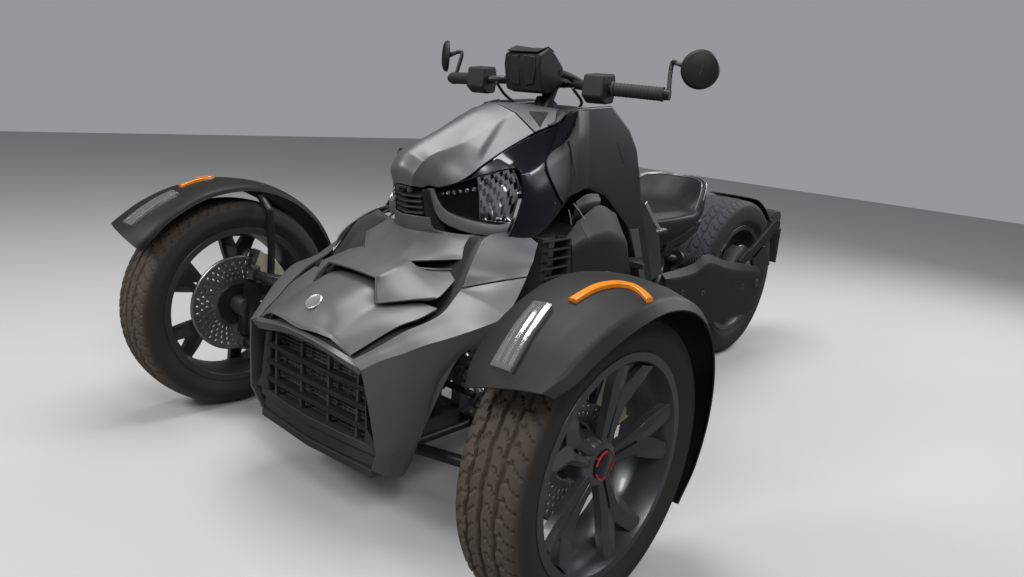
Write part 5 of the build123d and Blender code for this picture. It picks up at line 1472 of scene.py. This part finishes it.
@dataclass
class Wheel:
    """Rim with five split spokes, bright facets, hub cap and drilled brake disc."""

    name: str
    body: str
    centre: Point
    rim: float
    bead: float
    face: float
    hub_in: float
    hub_out: float
    disc_y: float
    disc_r: float
    bore: float
    side: Side = Side.LEFT
    tip: float = 54.0
    angles: tuple = (31, 103, 175, 247, 319)
    half_spoke: tuple = (
        (30, (3, 0.0), (10, 0.12), (18, 0.0)), (46, (3, 0.0), (11, 0.15), (19, 0.0)),
        (108, (3, 0.08), (15, 0.42), (27, 0.1)), (119, (-1, 0.2), (18, 0.5), (33, 0.25)),
        (148, (-1, 0.35), (32, 0.75), (46, 0.5)), (192, (25, 0.95), (46, 1.1), (62, 1.0)),
    )

    def spoke(self, angle: float, hand: float) -> Grid:
        """One half spoke as a closed section with a ridge.

        Each point lies so far along the spoke's own direction and so far across it. Its depth
        runs from the hub's face to the rim's tip by the table's share, and the back lies behind.

        Args:
            angle: Direction of the spoke in degrees.
            hand: One or minus one, for the half on either side of the direction.

        Returns:
            Grid with a row for each place along the spoke.
        """
        a, scale = math.radians(angle), (self.rim - 17.0) / 202.0
        along = np.array([row[0] for row in self.half_spoke], dtype=float)[:, None]
        edges = np.array([row[1:] for row in self.half_spoke], dtype=float)
        u = along * np.where(along > 60.0, scale, 1.0)
        v = hand * edges[:, :, 0] * np.where(edges[:, :, 0] > 20.0, scale, 1.0)
        x, y, z = self.centre
        top = np.stack([x + u * math.cos(a) - v * math.sin(a),
                        y + self.face + (self.tip - self.face) * edges[:, :, 1],
                        z + u * math.sin(a) + v * math.cos(a)], axis=-1)
        low = (top - np.array([0.0, 17.0, 0.0]))[:, ::-1]
        grid = np.concatenate([top, low], axis=1)
        return grid if hand > 0.0 else grid[:, ::-1]

    def build(self) -> None:
        """Make the rim's barrel, the spokes, the hub and the disc."""
        seat = self.bead - 4.5
        r = self.rim
        barrel = Form().spin([(r, -seat), (r, -self.bead), (r - 17, -self.bead), (r - 29, -self.bead + 30),
                              (r - 29, self.bead - 30), (r - 17, self.bead), (r, self.bead), (r, seat),
                              (r - 13, seat), (r - 24, self.bead - 32), (r - 24, -self.bead + 32),
                              (r - 13, -seat)], self.centre, 120, flip=True)
        spokes = Form()
        for angle in self.angles:
            for hand in (-1.0, 1.0):
                spokes.grid(self.spoke(angle, hand), wrap_columns=True, caps=True)
        hub = Form().spin([(21, self.hub_in), (44, self.hub_in), (52, self.face - 20), (47, self.face - 3),
                           (38, self.hub_out + 2), (21, self.hub_out + 2)], self.centre, 64, flip=True)
        side = self.side
        for word, form, bevel in (("barrel", barrel, 1.0), ("spokes", spokes, 0.8), ("hub", hub, 1.0)):
            item = form.build(f"rim_{word}_{self.name}", Look.RIM, body=self.body, bevel=bevel, side=side,
                              smooth=20.0)
            if word == "barrel":
                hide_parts("rim_" + self.name)
        cap = Form().spin([(0.1, self.hub_out + 1), (30, self.hub_out + 1), (28.5, self.hub_out + 6),
                           (24, self.hub_out + 8), (0.1, self.hub_out + 9)], self.centre, 48, flip=True)
        cap.build("hub_cap_" + self.name, Look.GLOSS, body=self.body, side=side)
        red = Form()
        for start in (12.0, 132.0, 252.0):
            arc = lathe([(25.5, self.hub_out + 7), (28.3, self.hub_out + 5.6), (29.0, self.hub_out + 7.0),
                         (26.0, self.hub_out + 8.8)], self.centre, 24, 1, start, 84.0)
            red.grid(arc, wrap_columns=True, flip=True, caps=True)
        red.build("hub_ring_" + self.name, Look.RED_RING, body=self.body, side=side)
        self.brake()

    def brake(self) -> None:
        """Make the disc: a ring with rows of holes drilled on a slant."""
        x, _, z = self.centre
        around, rings = 180, 13
        radii = np.linspace(self.bore + 22, self.disc_r, rings)
        angle = np.linspace(0.0, 2.0 * math.pi, around, endpoint=False)
        grid = np.zeros((around, rings, 3))
        grid[:, :, 0] = x + np.cos(angle)[:, None] * radii
        grid[:, :, 2] = z + np.sin(angle)[:, None] * radii
        grid[:, :, 1] = self.disc_y + 2.5
        i, j = np.meshgrid(np.arange(around), np.arange(rings - 1), indexing="ij")
        hole = (j >= 3) & (j <= rings - 3) & ((i + j) % 5 == 0) & (j % 2 == 1)
        i, j = i[~hole], j[~hole]
        first, second = i * rings + j, (i + 1) % around * rings + j
        form = Form().add(grid, np.stack([first + 1, second + 1, second, first], axis=-1))
        item = form.build("disc_face_" + self.name, Look.DISC, 5.0, body=self.body, side=self.side)
        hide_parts("disc_" + self.name)
        carrier = Form().spin([(28, self.disc_y - 3), (self.bore + 30, self.disc_y - 3),
                               (self.bore + 30, self.disc_y + 3), (28, self.disc_y + 3)], (x, 0.0, z), 10)
        carrier.build("disc_carrier_" + self.name, Look.STEEL, body=self.body, bevel=1.0, side=self.side)


@dataclass
class Calliper:
    """Pale cast brake calliper that reaches over a front disc, carried by one knuckle."""

    side: Side
    start: float = 112.0
    turn: float = 56.0
    inner: float = 96.0
    outer: float = 158.6
    half: float = 18.0
    slot: float = 7.6
    piston: float = 126.0

    def build(self) -> None:
        """Make the calliper's two halves and bridge as one turned section, then its piston covers."""
        word = self.side.name.lower()
        inner, outer, half, slot, crown = self.inner, self.outer, self.half, self.slot, self.outer - 15.0
        section = [(inner, -half), (outer, -half), (outer, half), (inner, half),
                   (inner, slot), (crown, slot), (crown, -slot), (inner, -slot)]
        turned = lathe(section, (0.0, DISC_Y, FRONT_R), 14, 1, self.start, self.turn)
        body = Form().grid(turned, wrap_columns=True, caps=True, flip=True)
        for angle in (self.start + 15.0, self.start + 41.0):
            a = math.radians(angle)
            x, z = self.piston * math.cos(a), FRONT_R + self.piston * math.sin(a)
            body.rod((x, DISC_Y + half - 4.0, z), (x, DISC_Y + half + 5.0, z), 17.0, 15.0, 24)
        knuckle = "knuckle_" + word[0]
        body.build("calliper_" + word, Look.CREAM, body=knuckle, bevel=2.0, side=self.side)


@dataclass
class Coil:
    """Coil-over unit: damper, spring seats and a helical spring."""

    name: str
    low: Point
    high: Point
    radius: float
    turns: float
    wire: float
    finish: Finish

    def build(self) -> bpy.types.Object:
        """Make the damper and the spring, whose point goes round the unit's axis as it climbs."""
        low, high = np.asarray(self.low, float), np.asarray(self.high, float)
        run = high - low
        way = run / np.linalg.norm(run)
        first = unit(np.cross(way, np.array([0.0, 1.0, 0.3])))
        second = np.cross(way, first)
        t = np.linspace(0.0, 1.0, int(self.turns * 24))
        a = 2.0 * math.pi * self.turns * t
        path = low + run * (0.13 + 0.68 * t)[:, None] + self.radius * (
            np.cos(a)[:, None] * first + np.sin(a)[:, None] * second)
        spring = Form().grid(swept(path, ring(self.wire, 10), 1.0, tuple(way)), wrap_columns=True, caps=True)
        damper = Form().rod(tuple(low), tuple(low + run * 0.55), self.radius * 0.42)
        damper.rod(tuple(low + run * 0.5), tuple(high), self.radius * 0.55)
        damper.rod(tuple(low + run * 0.09), tuple(low + run * 0.125), self.radius + self.wire)
        damper.rod(tuple(low + run * 0.82), tuple(low + run * 0.855), self.radius + self.wire)
        damper.ball(self.low, self.radius * 0.55).ball(self.high, self.radius * 0.55)
        if self.name.startswith("front"):
            spring.twin()
            damper.twin()
        item = spring.build("spring_" + self.name, Look.GRIP)
        damper.build("damper_" + self.name, self.finish, bevel=1.0)
        return item


@dataclass
class Rear:
    """Swing-arm cover, mudguard over the rear tyre, plate carrier and tail lamp."""

    cover: tuple = (
        ((-1000, 167, 422), (-1004, 183, 406), (-1012, 185, 350), (-1017, 176, 319)),
        ((-1092, 170, 425), (-1096, 188, 402), (-1110, 190, 330), (-1120, 182, 276)),
        ((-1190, 172, 434), (-1190, 190, 406), (-1195, 192, 320), (-1200, 182, 238)),
        ((-1276, 172, 457), (-1276, 190, 428), (-1288, 191, 312), (-1290, 182, 208)),
        ((-1430, 170, 418), (-1430, 186, 390), (-1436, 188, 300), (-1440, 178, 196)),
        ((-1580, 167, 392), (-1582, 180, 364), (-1590, 181, 285), (-1600, 174, 190)),
        ((-1713, 165, 365), (-1716, 173, 343), (-1724, 174, 262), (-1728, 170, 191)),
        ((-1758, 164, 349), (-1762, 169, 330), (-1768, 170, 272), (-1766, 167, 240)),
    )
    screws: tuple = ((-1250, 190, 330), (-1580, 179, 308), (-1110, 189, 350))
    arch: tuple = ((96, 84, 10, 12), (106, 92, 12, 15), (117, 92, 13, 17), (128, 92, 15, 20), (139, 92, 19, 24))
    plates: tuple = (
        ((103, 66), (103, 92), (68, 115), (-8, 143), (-168, 229), (-213, 217), (-209, 175), (-184, 181),
         (-91, 129), (-20, 92), (62, 76), (72, 66)),
        ((7, 95), (-60, 128), (-100, 129), (-176, 48), (-141, 35), (-66, 34), (-21, 57)),
    )

    def build(self) -> None:
        """Make the rear pieces."""
        form = Form().net(self.cover, (), (1,), flip=True)
        item = form.build("swing_cover_panel", Look.BLACK, WALL, 1.4)
        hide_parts("swing_cover")
        nut = Form().spin([(0.1, 166), (17, 166), (17, 178), (9, 182), (0.1, 182)], (BASE, 0.0, REAR_R), 6,
                          flip=True)
        nut.build("rear_axle_nut", Look.STEEL, bevel=1.0)
        for x, y, z in self.screws:
            Form().spin([(0.1, y), (9.5, y), (9.5, y + 2.5), (5.0, y + 3.6), (5.0, y + 1.6), (0.1, y + 1.6)],
                        (x, 0.0, z), 24, flip=True).build(f"cover_screw_{abs(x)}", Look.STEEL)
        rows = []
        for angle, half, edge, middle in self.arch:
            a = math.radians(angle)
            rows.append([(BASE + (REAR_R + over) * math.cos(a), y, REAR_R + (REAR_R + over) * math.sin(a))
                         for y, over in ((half, edge), (half * 0.7, middle - 1), (0.0, middle),
                                         (-half * 0.7, middle - 1), (-half, edge))])
        guard = Form().net(rows)
        body = guard.build("rear_mudguard", Look.BLACK, WALL, 1.2)
        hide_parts("tail_arm")
        tail = BASE - REAR_R
        elbow = (BASE - 206, 141, REAR_R + 196)
        arm = Form().tube([elbow, (tail + 8, 92, REAR_R + 160)], 11.0, 16, 8)
        arm.block((BASE + 69, 136, REAR_R + 37), (BASE + 103, 156, REAR_R + 75))
        reach, a = REAR_R + 20, math.radians(138.8)
        arm.rod(elbow, (BASE + reach * math.cos(a), 88, REAR_R + reach * math.sin(a)), 8)
        arm.build("tail_bracket_arm", Look.STEEL)
        blades = Form()
        for corners in self.plates:
            blades.prism([(BASE + x, 134.6, REAR_R + z) for x, z in corners], (0, 12.8, 0))
        blades.build("tail_bracket_plates", Look.FRAME, bevel=2.2, segments=3)
        plate = Form().block((tail - 47.3, -100, REAR_R + 27), (tail - 41.0, 100, REAR_R + 171))
        plate.block((tail - 44, -92, REAR_R + 159), (tail + 27, 92, REAR_R + 171))
        plate.build("plate_carrier", Look.BLACK, bevel=1.5)
        outline = [(-47.3, 171), (22, 171), (34, 217), (26, 245), (-28, 245), (-47.3, 227)]
        lamp = Form().prism([(tail + x, -90, REAR_R + z) for x, z in outline], (0, 180, 0))
        lamp.build("tail_lamp_body", Look.BLACK, bevel=3.0)
        red = Form().block((tail - 49.0, -80, REAR_R + 178), (tail - 40.0, 80, REAR_R + 224))
        item = red.build("tail_lamp_lens", Look.RED, bevel=2.0)
        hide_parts("tail_lamp")


@dataclass
class Underside:
    """Dressing of the suspension, engine and exhaust."""

    def build(self) -> None:
        """Make the springs and small pieces, and dress the CAD nodes that stay."""
        front = Coil("front", (-30.0, TRACK - 211.0, 214.0), (-45.0, 190.0, 430.0), 25.0, 6.5, 4.5,
                     Look.ALLOY).build()
        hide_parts("shocks")
        Coil("rear", (-1372.0, 134.0, 408.0), (-1088.0, 138.0, 456.0), 24.0, 10.0, 4.2, Look.STEEL).build()
        mounts = Form().block((-67, 99, 392), (-23, 129, 442)).block((-67, 120, 424), (-23, 204, 442)).twin()
        mounts.rod((-1088, 126, 456), (-1088, 140, 456), 8).rod((-1372, 137, 406), (-1372, 137, 380), 8)
        mounts.build("shock_mounts", Look.STEEL, bevel=1.0)
        dress(Look.FRAME, "frame")
        dress(Look.STEEL, "suspension_arms", "foot_pegs", "handlebar", "tie_rods", "swing_arm", "knuckle_left",
              "knuckle_right")
        dress(Look.ENGINE, "engine")
        dress(Look.EXHAUST, "muffler")
        dress(Look.BLACK, "glove_bin", "seat_base")


@dataclass
class Studio:
    """Pale floor, soft lights and the camera at the photograph's angle."""

    focal: float = 786.6
    eye: Point = (1125.3, 1361.7, 929.6)
    yaw: float = -2.4402
    pitch: float = -0.2446
    roll: float = 0.0871
    floor: Point = (0.46, 0.46, 0.455)
    half: float = 9000.0
    strength: float = 0.33
    reflected: float = 0.07
    width: float = 1024.0
    sensor: float = 36.0
    aim: Point = (-600.0, 0.0, 450.0)
    lights: tuple = (
        ("key_light", (1500, 2600, 3200), 1.3, 70.0, (1.0, 0.98, 0.95)),
        ("side_light", (2600, -1500, 2600), 1.0, 72.0, (1.0, 0.99, 0.97)),
        ("top_light", (-500, -500, 3600), 1.8, 84.0, (1.0, 1.0, 1.0)),
        ("rear_light", (-3600, 900, 2200), 1.6, 60.0, (0.96, 0.98, 1.0)),
    )

    def build(self) -> None:
        """Make the stage."""
        self.sky()
        self.ground()
        self.lamps()
        self.camera()

    def sky(self) -> None:
        """Even light from all round, which glossy reflections see dimmer."""
        world = bpy.data.worlds.new("studio_world")
        bpy.context.scene.world = world
        world.use_nodes = True
        back = world.node_tree.nodes["Background"]
        back.inputs["Color"].default_value = (0.93, 0.95, 1.0, 1.0)
        path = world.node_tree.nodes.new("ShaderNodeLightPath")
        dim = world.node_tree.nodes.new("ShaderNodeMath")
        dim.operation = "MULTIPLY_ADD"
        dim.inputs[1].default_value = self.reflected - self.strength
        dim.inputs[2].default_value = self.strength
        world.node_tree.links.new(path.outputs["Is Glossy Ray"], dim.inputs[0])
        world.node_tree.links.new(dim.outputs[0], back.inputs["Strength"])

    def ground(self) -> None:
        """Pale floor that glossy reflections see darker."""
        corners = [(x * self.half, y * self.half, 0) for x, y in ((-1, 1), (-1, -1), (1, -1), (1, 1))]
        mesh = bpy.data.meshes.new("studio_floor")
        mesh.from_pydata(metres(corners).tolist(), [], [(0, 1, 2, 3)])
        floor = bpy.data.objects.new("studio_floor", mesh)
        bpy.context.collection.objects.link(floor)
        graph = Graph("studio_floor")
        tone = graph.colours(graph.noise(1.3, 3.0), self.floor, tuple(c * 1.06 for c in self.floor))
        glossy = graph.node("ShaderNodeLightPath", None, None, "Is Glossy Ray")
        tone = graph.colours(glossy, tone, (0.10, 0.10, 0.10))
        mesh.materials.append(graph.finish({"Base Color": tone, "Roughness": 0.7}))

    def lamps(self) -> None:
        """Soft lights that face the vehicle."""
        for name, place, size, power, colour in self.lights:
            lamp = bpy.data.lights.new(name, "AREA")
            lamp.energy, lamp.size, lamp.color = power, size, colour
            item = bpy.data.objects.new(name, lamp)
            item.location = metres(place)
            way = Vector(metres(self.aim)) - Vector(item.location)
            item.rotation_euler = way.to_track_quat("-Z", "Y").to_euler()
            bpy.context.collection.objects.link(item)

    def camera(self) -> None:
        """Camera whose axes come from the photograph's yaw, pitch and roll."""
        ahead = np.array([math.cos(self.pitch) * math.cos(self.yaw), math.cos(self.pitch) * math.sin(self.yaw),
                          math.sin(self.pitch)])
        right = unit(np.cross(ahead, np.array([0.0, 0.0, 1.0])))
        up = np.cross(right, ahead)
        turn_right = right * math.cos(self.roll) + up * math.sin(self.roll)
        turn_up = -right * math.sin(self.roll) + up * math.cos(self.roll)
        data = bpy.data.cameras.new("photo_camera")
        data.lens = self.focal / self.width * self.sensor
        data.sensor_width = self.sensor
        data.clip_start = 0.05
        camera = bpy.data.objects.new("photo_camera", data)
        eye = metres(self.eye)
        matrix = Matrix.Identity(4)
        for k in range(3):
            matrix[k] = (turn_right[k], turn_up[k], -ahead[k], eye[k])
        camera.matrix_world = matrix
        bpy.context.collection.objects.link(camera)
        bpy.context.scene.camera = camera


def wheels() -> None:
    """Make the three wheels with their tyres."""
    for side, word in ((Side.LEFT, "left"), (Side.RIGHT, "right")):
        name, body = "front_" + word, "wheel_f" + word[0]
        Wheel(name, body, (0.0, TRACK, FRONT_R), rim=FRONT_RIM, bead=FRONT_BEAD, face=31.0, hub_in=-36.0,
              hub_out=32.0, disc_y=DISC_Y, disc_r=135.0, bore=30.0, side=side).build()
        Calliper(side).build()
        Tyre(name, body, (0.0, TRACK * side.value, FRONT_R), radius=FRONT_R, width=145.0, rim=FRONT_RIM,
             bead=FRONT_BEAD).build()
        Fender(side).build()
    Wheel("rear", "wheel_rear", (BASE, 0.0, REAR_R), rim=REAR_RIM, bead=REAR_BEAD, face=34.0, hub_in=-60.0,
          hub_out=44.0, disc_y=-96.0, disc_r=130.0, bore=50.0, side=Side.RIGHT, tip=82.0).build()
    # The rear tyre's bluish tread tint is a painted sheen.
    Tyre("rear", "wheel_rear", (BASE, 0.0, REAR_R), radius=REAR_R, width=205.0, rim=REAR_RIM, bead=REAR_BEAD,
         grooves=(-0.55, -0.18, 0.18, 0.55), sipes=54, dust_and_sheen=(0.050, 0.054, 0.062)).build()


def main() -> None:
    """Build and dress the whole vehicle, then the stage."""
    logging.basicConfig(level=logging.INFO, format="%(name)s: %(message)s")
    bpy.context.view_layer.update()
    for section in (Hood(), Nose(), Grille(), Chin(), Headlights(), TopCover(), GlossPanel(), ArchFrame(),
                    SidePods(), Seat(), HandleBar(), Rear(), Underside()):
        section.build()
    wheels()
    Studio().build()
    bpy.context.scene.view_settings.view_transform = "Standard"


if __name__ == "__main__":
    main()
